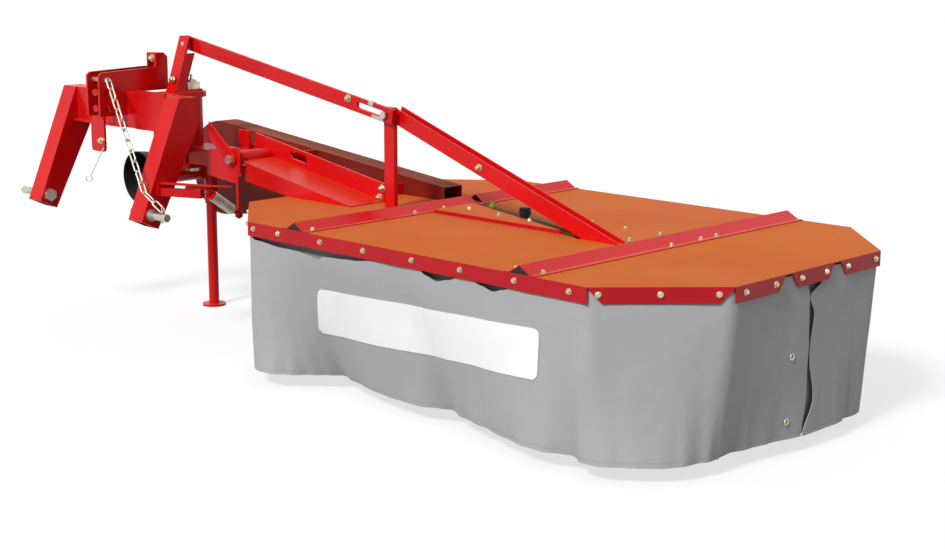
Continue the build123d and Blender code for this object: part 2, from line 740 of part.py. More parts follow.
def make_chain_parts():
    """Hook pin, check chain, lug plate under the cheeks and its spring clip."""
    reach = CHEEK_HALF_GAP + HEAVY_PLATE
    hook = rod(
        (CHEEK_X - reach - PLATE, HOOK_PIN_Y, HOOK_PIN_Z),
        (CHEEK_X + reach + PLATE, HOOK_PIN_Y, HOOK_PIN_Z),
        HOOK_PIN_RADIUS,
    )
    stud_x = CHEEK_X + reach + PLATE
    hook += rod(
        (stud_x, HOOK_PIN_Y, HOOK_PIN_Z),
        (stud_x + CHAIN_STUD_LENGTH, HOOK_PIN_Y, HOOK_PIN_Z),
        CHAIN_STUD_RADIUS,
    )
    start = Vector(stud_x + CHAIN_STUD_LENGTH / 2, HOOK_PIN_Y, HOOK_PIN_Z)
    tip_x = LEG_INNER_X + LEG_WIDTH + LOWER_PIN_REACH - CHAIN_TIP_INSET
    end = Vector(tip_x, LOWER_PIN_Y, LOWER_PIN_Z + LOWER_PIN_RADIUS + CHAIN_STUD_LENGTH / 2)
    knee = Vector(*CHAIN_KNEE)
    start = start - (knee - start).normalized() * LINK_SEAT
    end = end + (end - knee).normalized() * LINK_SEAT
    inner_end = (CHAIN_WIDTH - 2 * CHAIN_WIRE) / 2
    links = []
    runs = ((start, knee, CHAIN_UPPER_LINKS, 0), (knee, end, CHAIN_LOWER_LINKS, CHAIN_UPPER_LINKS))
    longest = (knee - start).length / CHAIN_UPPER_LINKS
    length = longest + 2 * CHAIN_WIRE + LINK_SLACK
    for run_start, run_end, count, first in runs:
        along = (run_end - run_start).normalized()
        pitch = (run_end - run_start).length / count
        side = Vector(1, 0, 0) - along * along.X
        across = along.cross(side)
        for index in range(count):
            centre = run_start + along * (pitch * (index + 0.5))
            flat = (first + index) % 2 == 0
            links.append(chain_link(centre, along, side if flat else across, length))
    lug_top = CHEEK_OUTLINE[1][1]
    lug = block(
        CHEEK_X - reach,
        CHEEK_X + reach,
        CHEEK_LUG_Y,
        CHEEK_LUG_Y + PLATE,
        lug_top - CHEEK_LUG_DROP,
        lug_top,
    )
    lower_corners = lug.edges().filter_by(Axis.Y).group_by(Axis.Z)[0]
    lug = fillet(lower_corners, CHEEK_LUG_CORNER)
    clip = rod(CLIP_TOP, CLIP_RING, CLIP_WIRE_RADIUS)
    drop = (Vector(*CLIP_RING) - Vector(*CLIP_TOP)).normalized()
    ring_centre = Vector(*CLIP_RING) + drop * CLIP_RING_RADIUS
    ring_frame = Plane(origin=ring_centre, x_dir=drop, z_dir=(0.6, -0.7, 0.1))
    clip += ring_frame * Torus(CLIP_RING_RADIUS, CLIP_WIRE_RADIUS)
    return {
        "hook_pin": hook,
        "check_chain": Compound(links),
        "cheek_lug": lug,
        "spring_clip": clip,
    }


def make_breakaway():
    """Jaw on the inner leg, and the sprung rod that the carrier draws out of it."""
    face_x = LEG_INNER_X + LEG_WIDTH
    low = BREAK_Z - BREAK_ARM_HEIGHT
    arm_top = BREAK_Z
    strip_low = arm_top + BREAK_NOSE_THICKNESS + 2 * BREAK_NOSE_GAP
    strip_top = strip_low + PLATE * 0.6
    half = 20.0
    base = block(
        face_x, face_x + PLATE, BREAK_Y - half, BREAK_Y + half, low, strip_top
    )
    direction = Vector(BREAK_JAW_END[0] - face_x, BREAK_JAW_END[1] - BREAK_Y, 0).normalized()
    normal = Vector(-direction.Y, direction.X, 0)

    def strip(width, tip, z0, z1):
        start = Vector(face_x + PLATE / 2, BREAK_Y, 0)
        end = Vector(BREAK_JAW_END[0], BREAK_JAW_END[1], 0)
        corners = [start + normal * width, start - normal * width, end - normal * width]
        if tip:
            corners.append(Vector(tip[0], tip[1], 0))
        corners.append(end + normal * width)
        return slab_z([(c.X, c.Y) for c in corners], z0, z1)

    jaw = base + strip(half * 0.6, None, low, arm_top)
    jaw += strip(half * 0.7, BREAK_STRIP_TIP, strip_low, strip_top)
    jaw -= block(face_x - LEG_WIDTH, face_x, BREAK_Y - 2 * half, BREAK_Y + 2 * half, 0, LEG_TOP_Z)
    start = Vector(*BREAK_SPRING_START)
    anchor = Vector(*BREAK_ANCHOR)
    along = (anchor - start).normalized()
    sprung = rod(start, anchor, BREAK_ROD_RADIUS)
    nose_low = arm_top + BREAK_NOSE_GAP
    nose_back = Vector(BREAK_JAW_END[0] - 60.0, BREAK_JAW_END[1] - 24.0, 0)
    nose_end = Vector(start.X, start.Y, 0)
    nose_outline = [
        nose_back + normal * 9,
        nose_back - normal * 9,
        nose_end - normal * 12,
        nose_end + normal * 12,
    ]
    sprung += slab_z(
        [(c.X, c.Y) for c in nose_outline], nose_low, nose_low + BREAK_NOSE_THICKNESS
    )
    sprung += rod(
        start, (start.X, start.Y, nose_low + BREAK_NOSE_THICKNESS), BREAK_ROD_RADIUS
    )
    eye_low = anchor.Z - 1.2 * BREAK_ROD_RADIUS
    eye_high = anchor.Z + 1.2 * BREAK_ROD_RADIUS
    sprung += rod(
        (anchor.X, anchor.Y, eye_low), (anchor.X, anchor.Y, eye_high), 2 * BREAK_ROD_RADIUS
    )
    sprung -= rod(
        (anchor.X, anchor.Y, eye_low - SPRING_RADIUS),
        (anchor.X, anchor.Y, eye_high + SPRING_RADIUS),
        BREAK_ROD_RADIUS + PIN_FIT,
    )
    seat = start + along * (2 * BREAK_ROD_RADIUS)
    sprung += rod(seat, seat + along * 4, SPRING_RADIUS + SPRING_WIRE_RADIUS)
    spring_start = seat + along * (4 + SPRING_WIRE_RADIUS + PAINT_GAP)
    pitch = SPRING_LENGTH / SPRING_TURNS
    helix = Helix(
        pitch=pitch,
        height=SPRING_LENGTH,
        radius=SPRING_RADIUS,
        center=spring_start,
        direction=along,
    )
    section = Plane(origin=helix @ 0, z_dir=helix % 0) * Circle(SPRING_WIRE_RADIUS)
    spring = sweep(section, path=helix, is_frenet=True)
    return {
        "breakaway_jaw": jaw,
        "breakaway_rod": sprung,
        "breakaway_spring": spring,
    }


def make_guard_brackets():
    """Cross plates that tie the belt guard and the input bearing to the boom."""
    nodes = {}
    rear = BOOM_REAR_Y + PLATE
    for name, x in (("guard_bracket_inner", -225.0), ("guard_bracket_outer", 240.0)):
        z0 = boom_top(x)
        low = max(z0 - 60.0, COVER_TOP)
        nodes[name] = block(x, x + PLATE, rear, GUARD_FRONT_Y, low, z0 + 20.0)
    return nodes


def make_swing_bracket():
    """Plate on the back of the hitch beam with two lugs round the swing pin.

    The lower lug hangs on a web that stays inside the circle which the drive bell
    sweeps past when the cutter swings back.
    """
    x0 = PIVOT_X - LUG_HALF_WIDTH
    x1 = PIVOT_X + LUG_HALF_WIDTH
    back = HITCH_BEAM_BACK_Y
    web_back = ARM_FRONT_Y - SWING_GAP
    web_front = web_back - BRACKET_WEB
    upper_z = UPPER_LUG_TOP_Z - LUG_THICKNESS
    lower_top = LOWER_LUG_BOTTOM_Z + LUG_THICKNESS
    bracket = block(x0, x1, back, back + BRACKET_PLATE, BRACKET_SHELF_Z, UPPER_LUG_TOP_Z)
    bracket += block(x0, x1, back, PIVOT_Y, upper_z, UPPER_LUG_TOP_Z)
    bracket += rod((PIVOT_X, PIVOT_Y, upper_z), (PIVOT_X, PIVOT_Y, UPPER_LUG_TOP_Z), LUG_HALF_WIDTH)
    shelf_top = BRACKET_SHELF_Z + LUG_THICKNESS
    bracket += block(x0, x1, back, web_back, BRACKET_SHELF_Z, shelf_top)
    for side in (x0, x1 - PLATE):
        bracket += block(side, side + PLATE, back, web_back, BRACKET_SHELF_Z, UPPER_LUG_TOP_Z)
    low_part = block(x0, x1, web_front, web_back, LOWER_LUG_BOTTOM_Z, BRACKET_SHELF_Z)
    low_part += block(x0, x1, web_front, PIVOT_Y, LOWER_LUG_BOTTOM_Z, lower_top)
    low_part += rod(
        (PIVOT_X, PIVOT_Y, LOWER_LUG_BOTTOM_Z), (PIVOT_X, PIVOT_Y, lower_top), LUG_HALF_WIDTH
    )
    bracket += low_part & rod(
        (PIVOT_X, PIVOT_Y, LOWER_LUG_BOTTOM_Z),
        (PIVOT_X, PIVOT_Y, BRACKET_SHELF_Z),
        BELL_SWEEP_RADIUS,
    )
    bracket -= rod(
        (PIVOT_X, PIVOT_Y, LOWER_LUG_BOTTOM_Z - 1),
        (PIVOT_X, PIVOT_Y, UPPER_LUG_TOP_Z + 1),
        PIVOT_PIN_RADIUS + RUNNING_FIT,
    )
    return {"swing_bracket": bracket}


def make_carrier():
    """Hub, arm and ears that swing about the pin, with the upright on top."""
    hub_low = LOWER_LUG_BOTTOM_Z + LUG_THICKNESS + PAINT_GAP
    hub_high = UPPER_LUG_TOP_Z - LUG_THICKNESS - PAINT_GAP
    hub_bore = PIVOT_PIN_RADIUS + PIN_FIT
    arm = block(PIVOT_X, ARM_END_X, ARM_FRONT_Y, ARM_REAR_Y, hub_low, ARM_TOP_Z)
    arm += rod((PIVOT_X, PIVOT_Y, hub_low), (PIVOT_X, PIVOT_Y, hub_high), PIVOT_HUB_RADIUS)
    ear_outline = [
        (-438.0, 576.0),
        (-438.0, 655.0),
        (-420.0, 672.0),
        (HINGE_X + 20.0, 690.0),
        (HINGE_X + 42.0, 672.0),
        (HINGE_X + 42.0, 600.0),
        (HINGE_X + 10.0, 560.0),
        (-360.0, 568.0),
    ]
    front_ear = slab_y(ear_outline, EAR_FRONT_Y, EAR_FRONT_Y + HEAVY_PLATE)
    rear_ear = slab_y(ear_outline, EAR_REAR_Y, EAR_REAR_Y + HEAVY_PLATE)
    cross_front = block(
        -438.0, -400.0, EAR_FRONT_Y + HEAVY_PLATE, ARM_FRONT_Y, ARM_BOTTOM_Z + 30, ARM_TOP_Z
    )
    cross_rear = block(-438.0, -400.0, ARM_REAR_Y, EAR_REAR_Y, ARM_BOTTOM_Z + 30, ARM_TOP_Z)
    carrier = arm + front_ear + rear_ear + cross_front + cross_rear
    anchor_x, anchor_y, anchor_z = BREAK_ANCHOR
    carrier += rod(
        (anchor_x, anchor_y, anchor_z - 2 * BREAK_ROD_RADIUS),
        (anchor_x, anchor_y, HINGE_Z - SLEEVE_RADIUS - SWING_GAP),
        BREAK_ROD_RADIUS,
    )
    carrier -= rod(
        (PIVOT_X, PIVOT_Y, hub_low - 1), (PIVOT_X, PIVOT_Y, hub_high + 1), hub_bore
    )
    carrier -= rod(
        (HINGE_X, EAR_FRONT_Y - 1, HINGE_Z),
        (HINGE_X, EAR_REAR_Y + HEAVY_PLATE + 1, HINGE_Z),
        HINGE_PIN_RADIUS + PIN_FIT,
    )
    carrier += block(
        *ANCHOR_PLATE_X,
        ANCHOR_PLATE_Y,
        ANCHOR_PLATE_Y + PLATE,
        ARM_TOP_Z - PLATE,
        ANCHOR_PLATE_TOP_Z,
    )
    nodes = {"swing_carrier": carrier}
    end_x, end_low, end_high = BRACE_END
    half_eye = BRACE_EYE_RADIUS * sin(pi / 4)
    brace = slab_y(
        [
            (end_x, end_low),
            (end_x, end_high),
            (HINGE_X + half_eye, HINGE_Z + half_eye),
            (HINGE_X - half_eye, HINGE_Z - half_eye),
        ],
        EAR_FRONT_Y - PLATE,
        EAR_FRONT_Y,
    )
    eye_front = (HINGE_X, EAR_FRONT_Y - PLATE, HINGE_Z)
    brace += rod(eye_front, (HINGE_X, EAR_FRONT_Y, HINGE_Z), BRACE_EYE_RADIUS)
    brace -= rod(eye_front, (HINGE_X, EAR_FRONT_Y, HINGE_Z), HINGE_PIN_RADIUS + PIN_FIT)
    nodes["hinge_brace"] = brace
    plate_low = UPPER_LUG_TOP_Z + PAINT_GAP
    plate_high = plate_low + PLATE
    pin = rod(
        (PIVOT_X, PIVOT_Y, LOWER_LUG_BOTTOM_Z - NUT_THICKNESS),
        (PIVOT_X, PIVOT_Y, plate_high + 2 * NUT_THICKNESS),
        PIVOT_PIN_RADIUS,
    )
    pin += hexagon_bar(
        (PIVOT_X, PIVOT_Y, LOWER_LUG_BOTTOM_Z - NUT_THICKNESS),
        (PIVOT_X, PIVOT_Y, LOWER_LUG_BOTTOM_Z - PAINT_GAP),
        2.8 * PIVOT_PIN_RADIUS,
    )
    pin += hexagon_bar(
        (PIVOT_X, PIVOT_Y, plate_high),
        (PIVOT_X, PIVOT_Y, plate_high + 1.6 * NUT_THICKNESS),
        2.8 * PIVOT_PIN_RADIUS,
    )
    nodes["swing_pin"] = pin
    foot = block(PIVOT_X - 30, PIVOT_X + 30, 395.0, PIVOT_Y + 30, plate_low, plate_high)
    foot -= rod(
        (PIVOT_X, PIVOT_Y, plate_low - 1),
        (PIVOT_X, PIVOT_Y, plate_high + 1),
        PIVOT_PIN_RADIUS + PIN_FIT,
    )
    web = [
        (400.0, plate_high),
        (408.0, plate_high),
        (474.0, 1068.0),
        (466.0, 1068.0),
    ]
    flange = [
        (408.0, plate_high),
        (442.0, plate_high),
        (489.0, 1005.0),
        (451.0, 1005.0),
    ]
    upright = slab_x(web, PIVOT_X - 30, PIVOT_X + 30)
    upright += slab_x(flange, PIVOT_X - 30, PIVOT_X - 24)
    upright += slab_x(flange, PIVOT_X + 24, PIVOT_X + 30)
    upright += foot
    upright -= rod(
        (PIVOT_X, 400, STAY_PIVOT_Z), (PIVOT_X, 520, STAY_PIVOT_Z), STAY_PIN_RADIUS + PIN_FIT
    )
    nodes["upright"] = upright
    bolt = rod(
        (PIVOT_X, 455.0, STAY_PIVOT_Z), (PIVOT_X, 510.0, STAY_PIVOT_Z), STAY_PIN_RADIUS
    )
    nodes["stay_pivot_bolt"] = bolt
    hinge = rod(
        (HINGE_X, EAR_FRONT_Y - PLATE, HINGE_Z),
        (HINGE_X, EAR_REAR_Y + HEAVY_PLATE, HINGE_Z),
        HINGE_PIN_RADIUS,
    )
    hinge += hexagon_bar(
        (HINGE_X, EAR_FRONT_Y - PLATE - NUT_THICKNESS, HINGE_Z),
        (HINGE_X, EAR_FRONT_Y - PLATE, HINGE_Z),
        2.8 * HINGE_PIN_RADIUS,
    )
    hinge += hexagon_bar(
        (HINGE_X, EAR_REAR_Y + HEAVY_PLATE, HINGE_Z),
        (HINGE_X, EAR_REAR_Y + HEAVY_PLATE + NUT_THICKNESS, HINGE_Z),
        2.8 * HINGE_PIN_RADIUS,
    )
    nodes["tilt_hinge_pin"] = hinge
    return nodes


def boom_top(x):
    """Height of the boom's sloping top plate at x."""
    return 660.0 - (x + 358.0) * BOOM_SLOPE


def make_boom():
    """Sloping plate boom with its front wall, rear lip and hinge sleeve."""
    x0 = HINGE_X
    x1 = BOOM_END_X
    top = slab_y(
        [
            (x0, boom_top(x0) - PLATE),
            (x1, COVER_TOP),
            (x1, boom_top(x1)),
            (x0, boom_top(x0)),
        ],
        BOOM_FRONT_Y,
        BOOM_REAR_Y + PLATE,
    )
    wall = slab_y(
        [
            (BOOM_START_X, boom_top(BOOM_START_X)),
            (x1, boom_top(x1)),
            (x1, COVER_TOP),
            (0.0, COVER_TOP),
            (BOOM_START_X - 10, boom_top(BOOM_START_X) - BOOM_FRONT_DEPTH),
        ],
        BOOM_FRONT_Y,
        BOOM_FRONT_Y + PLATE,
    )
    lip = slab_y(
        [
            (BOOM_LIP_START_X, boom_top(BOOM_LIP_START_X)),
            (x1, boom_top(x1)),
            (x1, boom_top(x1) + BOOM_LIP),
            (BOOM_LIP_START_X, boom_top(BOOM_LIP_START_X) + BOOM_LIP),
        ],
        BOOM_REAR_Y,
        BOOM_REAR_Y + PLATE,
    )
    slot_frame = Plane(
        origin=(LIP_SLOT_X, BOOM_REAR_Y, boom_top(LIP_SLOT_X) + BOOM_LIP - LIP_SLOT_DROP),
        x_dir=(1, 0, -BOOM_SLOPE),
        z_dir=(0, 1, 0),
    )
    lip -= extrude(slot_frame * SlotOverall(LIP_SLOT_LENGTH, LIP_SLOT_WIDTH), amount=PLATE)
    sleeve_y = (EAR_FRONT_Y + HEAVY_PLATE + SWING_GAP, BOOM_REAR_Y + PLATE)
    sleeve = rod((HINGE_X, sleeve_y[0], HINGE_Z), (HINGE_X, sleeve_y[1], HINGE_Z), SLEEVE_RADIUS)
    boom = top + wall + lip + sleeve
    bore = HINGE_PIN_RADIUS + RUNNING_FIT
    boom -= rod((HINGE_X, sleeve_y[0] - 1, HINGE_Z), (HINGE_X, sleeve_y[1] + 1, HINGE_Z), bore)
    return {"boom": boom}


def make_stay():
    """Stay bar with its slot, the post on the cover and the long strut."""
    dx = POST_X - PIVOT_X
    dz = POST_PIN_Z - STAY_PIVOT_Z
    reach = hypot(dx, dz)
    half = STAY_THICKNESS / 2
    local = Plane(
        origin=(PIVOT_X, STAY_Y - half, STAY_PIVOT_Z), x_dir=(dx, 0, dz), z_dir=(0, 1, 0)
    )
    length = reach + STAY_NOSE + STAY_WIDTH / 2
    bar = Pos(length / 2 - STAY_WIDTH / 2, 0) * Rectangle(length, STAY_WIDTH)
    bar -= Circle(STAY_PIN_RADIUS + RUNNING_FIT)
    slot_length = STAY_SLOT + 2 * (STAY_PIN_RADIUS + STAY_SLOT_PLAY)
    slot_centre = reach - STAY_SLOT / 2
    bar -= Pos(slot_centre, 0) * SlotOverall(
        slot_length, 2 * (STAY_PIN_RADIUS + STAY_SLOT_PLAY)
    )
    stay = extrude(local * bar, amount=STAY_THICKNESS)
    post_y = STAY_Y + half + SWING_GAP
    post = block(
        POST_X - POST_WIDTH / 2,
        POST_X + POST_WIDTH / 2,
        post_y,
        post_y + POST_THICKNESS,
        COVER_TOP,
        POST_PIN_Z + POST_WIDTH / 2,
    )
    post -= rod(
        (POST_X, post_y - 1, POST_PIN_Z),
        (POST_X, post_y + POST_THICKNESS + 1, POST_PIN_Z),
        STAY_PIN_RADIUS + PIN_FIT,
    )
    pin = rod(
        (POST_X, STAY_Y - half - SWING_GAP, POST_PIN_Z),
        (POST_X, post_y + POST_THICKNESS, POST_PIN_Z),
        STAY_PIN_RADIUS,
    )
    pin += hexagon_bar(
        (POST_X, STAY_Y - half - SWING_GAP - PLATE, POST_PIN_Z),
        (POST_X, STAY_Y - half - SWING_GAP, POST_PIN_Z),
        3 * STAY_PIN_RADIUS,
    )
    strut_y = post_y + POST_THICKNESS
    middle = strut_y + STRUT_WIDTH / 2
    foot = Vector(STRUT_FOOT_X, middle, COVER_TOP)
    head = Vector(POST_X, middle, POST_PIN_Z)
    along = foot - head
    section = Rectangle(STRUT_WIDTH, STRUT_DEPTH)
    section -= Pos(0, STRUT_WALL) * Rectangle(STRUT_WIDTH - 2 * STRUT_WALL, STRUT_DEPTH)
    frame = Plane(origin=head, x_dir=(0, 1, 0), z_dir=along)
    strut = extrude(frame * section, amount=along.length + STRUT_DEPTH)
    strut -= block(
        POST_X, COVER_LENGTH, strut_y - 1, strut_y + STRUT_WIDTH + 1, 0, COVER_TOP
    )
    return {
        "stay_bar": stay,
        "post": post,
        "post_pin": pin,
        "long_strut": strut,
    }


def guard_outline(inset):
    """Side outline of the belt guard in x and z, moved in by its wall."""
    radius = GUARD_RADIUS - inset
    top = GUARD_END_TOP_Z - inset
    bottom = GUARD_END_BOTTOM_Z + inset
    points = []
    for x_end, z_end, side in ((GUARD_END_X, top, 1), (GUARD_END_X, bottom, -1)):
        dx = x_end - INPUT_X
        dz = z_end - INPUT_Z
        base = atan2(dz, dx)
        angle = base + side * acos(radius / hypot(dx, dz))
        points.append((INPUT_X + radius * cos(angle), INPUT_Z + radius * sin(angle)))
    upper, lower = points
    arc = ThreePointArc(
        (upper[0], 0, upper[1]), (INPUT_X - radius, 0, INPUT_Z), (lower[0], 0, lower[1])
    )
    run = Polyline(
        (lower[0], 0, lower[1]),
        (GUARD_END_X, 0, bottom),
        (GUARD_END_X, 0, top),
        (upper[0], 0, upper[1]),
    )
    return make_face(arc + run)


def make_belt_drive():
    """Two-part belt guard, the input bearing tube, its splined shaft and the bell."""
    nodes = {}
    half = GUARD_WIDTH / 2
    for name, y0, inner_y in (
        ("belt_guard_front", GUARD_FRONT_Y, GUARD_FRONT_Y + GUARD_WALL),
        ("belt_guard_rear", GUARD_FRONT_Y + half + PAINT_GAP, GUARD_FRONT_Y + half),
    ):
        depth = half if y0 == GUARD_FRONT_Y else half - PAINT_GAP
        shell = extrude(Pos(0, y0, 0) * guard_outline(0), amount=depth, dir=(0, 1, 0))
        hollow = extrude(
            Pos(0, inner_y, 0) * guard_outline(GUARD_WALL),
            amount=half - GUARD_WALL,
            dir=(0, 1, 0),
        )
        mouth = block(
            GUARD_END_X - 2 * GUARD_WALL,
            GUARD_END_X + 1,
            inner_y,
            inner_y + half - GUARD_WALL,
            GUARD_END_BOTTOM_Z + GUARD_WALL,
            GUARD_END_TOP_Z - GUARD_WALL,
        )
        shell -= hollow
        shell -= mouth
        if y0 == GUARD_FRONT_Y:
            shell -= rod(
                (INPUT_X, y0 - 1, INPUT_Z),
                (INPUT_X, y0 + GUARD_WALL + 1, INPUT_Z),
                BEARING_TUBE_RADIUS + PIN_FIT,
            )
        nodes[name] = shell
    tube = rod(
        (INPUT_X, BEARING_TUBE_START_Y, INPUT_Z),
        (INPUT_X, GUARD_FRONT_Y + 2 * GUARD_WALL, INPUT_Z),
        BEARING_TUBE_RADIUS,
    )
    tube -= rod(
        (INPUT_X, BEARING_TUBE_START_Y - 1, INPUT_Z),
        (INPUT_X, GUARD_FRONT_Y + 3 * GUARD_WALL, INPUT_Z),
        INPUT_SHAFT_RADIUS + RUNNING_FIT,
    )
    nodes["input_bearing_tube"] = tube
    shaft = rod(
        (INPUT_X, INPUT_SHAFT_START_Y, INPUT_Z),
        (INPUT_X, GUARD_FRONT_Y + half, INPUT_Z),
        INPUT_SHAFT_RADIUS,
    )
    for count in range(SPLINE_COUNT):
        groove = block(
            INPUT_SHAFT_RADIUS - SPLINE_DEPTH,
            2 * INPUT_SHAFT_RADIUS,
            INPUT_SHAFT_START_Y - 1,
            BEARING_TUBE_START_Y - PAINT_GAP,
            -SPLINE_WIDTH / 2,
            SPLINE_WIDTH / 2,
        )
        turn = Rot(0, 360.0 * count / SPLINE_COUNT, 0)
        shaft -= Pos(INPUT_X, 0, INPUT_Z) * turn * groove
    nodes["input_shaft"] = shaft
    bell_end = BELL_START_Y + BELL_DEPTH
    bell = revolve(
        make_face(
            Polyline(
                [
                    (BEARING_TUBE_RADIUS - 5, bell_end, 0),
                    (BELL_RADIUS - 12, bell_end, 0),
                    (BELL_RADIUS - 4, BELL_START_Y + 40, 0),
                    (BELL_RADIUS, BELL_START_Y, 0),
                    (BELL_RADIUS - 4, BELL_START_Y, 0),
                    (BELL_RADIUS - 8, BELL_START_Y + 40, 0),
                    (BELL_RADIUS - 16, bell_end - 4, 0),
                    (BEARING_TUBE_RADIUS - 5, bell_end - 4, 0),
                ],
                close=True,
            )
        ),
        axis=Axis.Y,
    )
    bell = Pos(INPUT_X, 0, INPUT_Z) * bell
    bell -= rod(
        (INPUT_X, bell_end - 10, INPUT_Z),
        (INPUT_X, bell_end + 10, INPUT_Z),
        BEARING_TUBE_RADIUS + PIN_FIT,
    )
    nodes["shaft_bell"] = bell
    return nodes


def make_stand():
    """Sleeve under the bearing tube and the sliding leg with its foot."""
    outer = STAND_RADIUS + SLEEVE_WALL + RUNNING_FIT
    sleeve = rod((STAND_X, STAND_Y, SLEEVE_BOTTOM_Z), (STAND_X, STAND_Y, SLEEVE_TOP_Z), outer)
    sleeve += block(
        INPUT_X,
        STAND_X,
        STAND_Y - outer / 2,
        STAND_Y + outer / 2,
        INPUT_Z - BEARING_TUBE_RADIUS,
        INPUT_Z + BEARING_TUBE_RADIUS,
    )
    sleeve -= rod(
        (STAND_X, STAND_Y, SLEEVE_BOTTOM_Z - 1),
        (STAND_X, STAND_Y, SLEEVE_TOP_Z + 1),
        STAND_RADIUS + RUNNING_FIT,
    )
    sleeve -= rod(
        (INPUT_X, GUARD_FRONT_Y, INPUT_Z),
        (INPUT_X, BEARING_TUBE_START_Y, INPUT_Z),
        BEARING_TUBE_RADIUS + PIN_FIT,
    )
    leg = rod((STAND_X, STAND_Y, 0), (STAND_X, STAND_Y, STAND_TOP_Z), STAND_RADIUS)
    leg += rod((STAND_X, STAND_Y, 0), (STAND_X, STAND_Y, STAND_FOOT_THICKNESS), STAND_FOOT_RADIUS)
    return {"stand_sleeve": sleeve, "stand_leg": leg}


def make_all():
    """Every node of the mower, in the drawing frame."""
    nodes = {}
    for part in (
        make_cover(),
        make_centre_plate(),
        make_gear_beam(),
        make_skirt(),
        make_drum(0),
        make_drum(1),
        make_hitch(),
        make_chain_parts(),
        make_breakaway(),
        make_guard_brackets(),
        make_swing_bracket(),
        make_carrier(),
        make_boom(),
        make_stay(),
        make_belt_drive(),
        make_stand(),
    ):
        nodes.update(part)
    return nodes


def whole_box(nodes):
    """Lowest and highest corners of all the nodes together."""
    boxes = [solid.bounding_box() for node in nodes.values() for solid in node.solids()]
    low = [min(getattr(b.min, axis) for b in boxes) for axis in "XYZ"]
    high = [max(getattr(b.max, axis) for b in boxes) for axis in "XYZ"]
    return low, high


def write_parts(nodes):
    """Each node as a STEP file, with the origin on the floor below the middle."""
    os.makedirs("parts", exist_ok=True)
    low, high = whole_box(nodes)
    shift = Pos(-(low[0] + high[0]) / 2, -(low[1] + high[1]) / 2, -low[2])
    for name, node in nodes.items():
        solids = [shift * solid for solid in node.solids()]
        shape = solids[0] if len(solids) == 1 else Compound(solids)
        export_step(shape, f"parts/{name}.step")
    print("box", low, high)


write_parts(make_all())
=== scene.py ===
"""Drum mower in its working place: finishes, cloth skirt, fasteners and small fittings."""

import json
import logging
import math
from dataclasses import dataclass, field
from enum import Enum
from typing import Callable, Iterable, Mapping, Sequence

import bmesh
import bpy
from mathutils import Matrix, Vector, noise


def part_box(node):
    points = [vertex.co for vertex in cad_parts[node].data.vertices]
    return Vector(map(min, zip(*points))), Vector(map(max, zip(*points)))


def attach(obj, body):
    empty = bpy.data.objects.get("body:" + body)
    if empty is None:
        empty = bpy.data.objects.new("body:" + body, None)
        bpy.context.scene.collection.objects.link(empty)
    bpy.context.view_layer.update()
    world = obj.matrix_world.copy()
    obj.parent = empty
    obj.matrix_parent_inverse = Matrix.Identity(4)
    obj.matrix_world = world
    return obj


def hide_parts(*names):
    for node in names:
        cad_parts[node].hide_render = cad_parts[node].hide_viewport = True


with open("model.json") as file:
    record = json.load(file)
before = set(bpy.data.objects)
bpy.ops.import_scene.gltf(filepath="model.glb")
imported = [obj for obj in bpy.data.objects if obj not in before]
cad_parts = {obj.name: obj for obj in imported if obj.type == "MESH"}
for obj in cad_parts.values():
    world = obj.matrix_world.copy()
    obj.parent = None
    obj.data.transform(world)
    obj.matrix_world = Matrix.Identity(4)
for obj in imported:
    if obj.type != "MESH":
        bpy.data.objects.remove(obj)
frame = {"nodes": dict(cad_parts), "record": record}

LOG = logging.getLogger("drum_mower")
SOFT_BEND_DEG = 80.0
HEX_SIDES = 6
WHITE = (1.0, 1.0, 1.0, 1.0)

Colour = Point = tuple[float, float, float]
Pair = tuple[float, float]
Table = tuple[Pair, ...]
Mesh = bmesh.types.BMesh
Socket = bpy.types.NodeSocket
Sockets = Mapping[str, Socket]


class Facing(Enum):
    """Ways in which a fastener or a fitting can look."""

    FRONT = (0, -1, 0)
    REAR = (0, 1, 0)
    RIGHT = (1, 0, 0)
    UP = (0, 0, 1)

    def vector(self) -> Vector:
        """Unit vector of this way."""
        return Vector(self.value)


class Head(Enum):
    """Kinds of six-sided fastener, by what shows of it."""

    BOLT = "the bolt's head"
    LOCK_NUT = "a nut with the screw's end standing out of it"


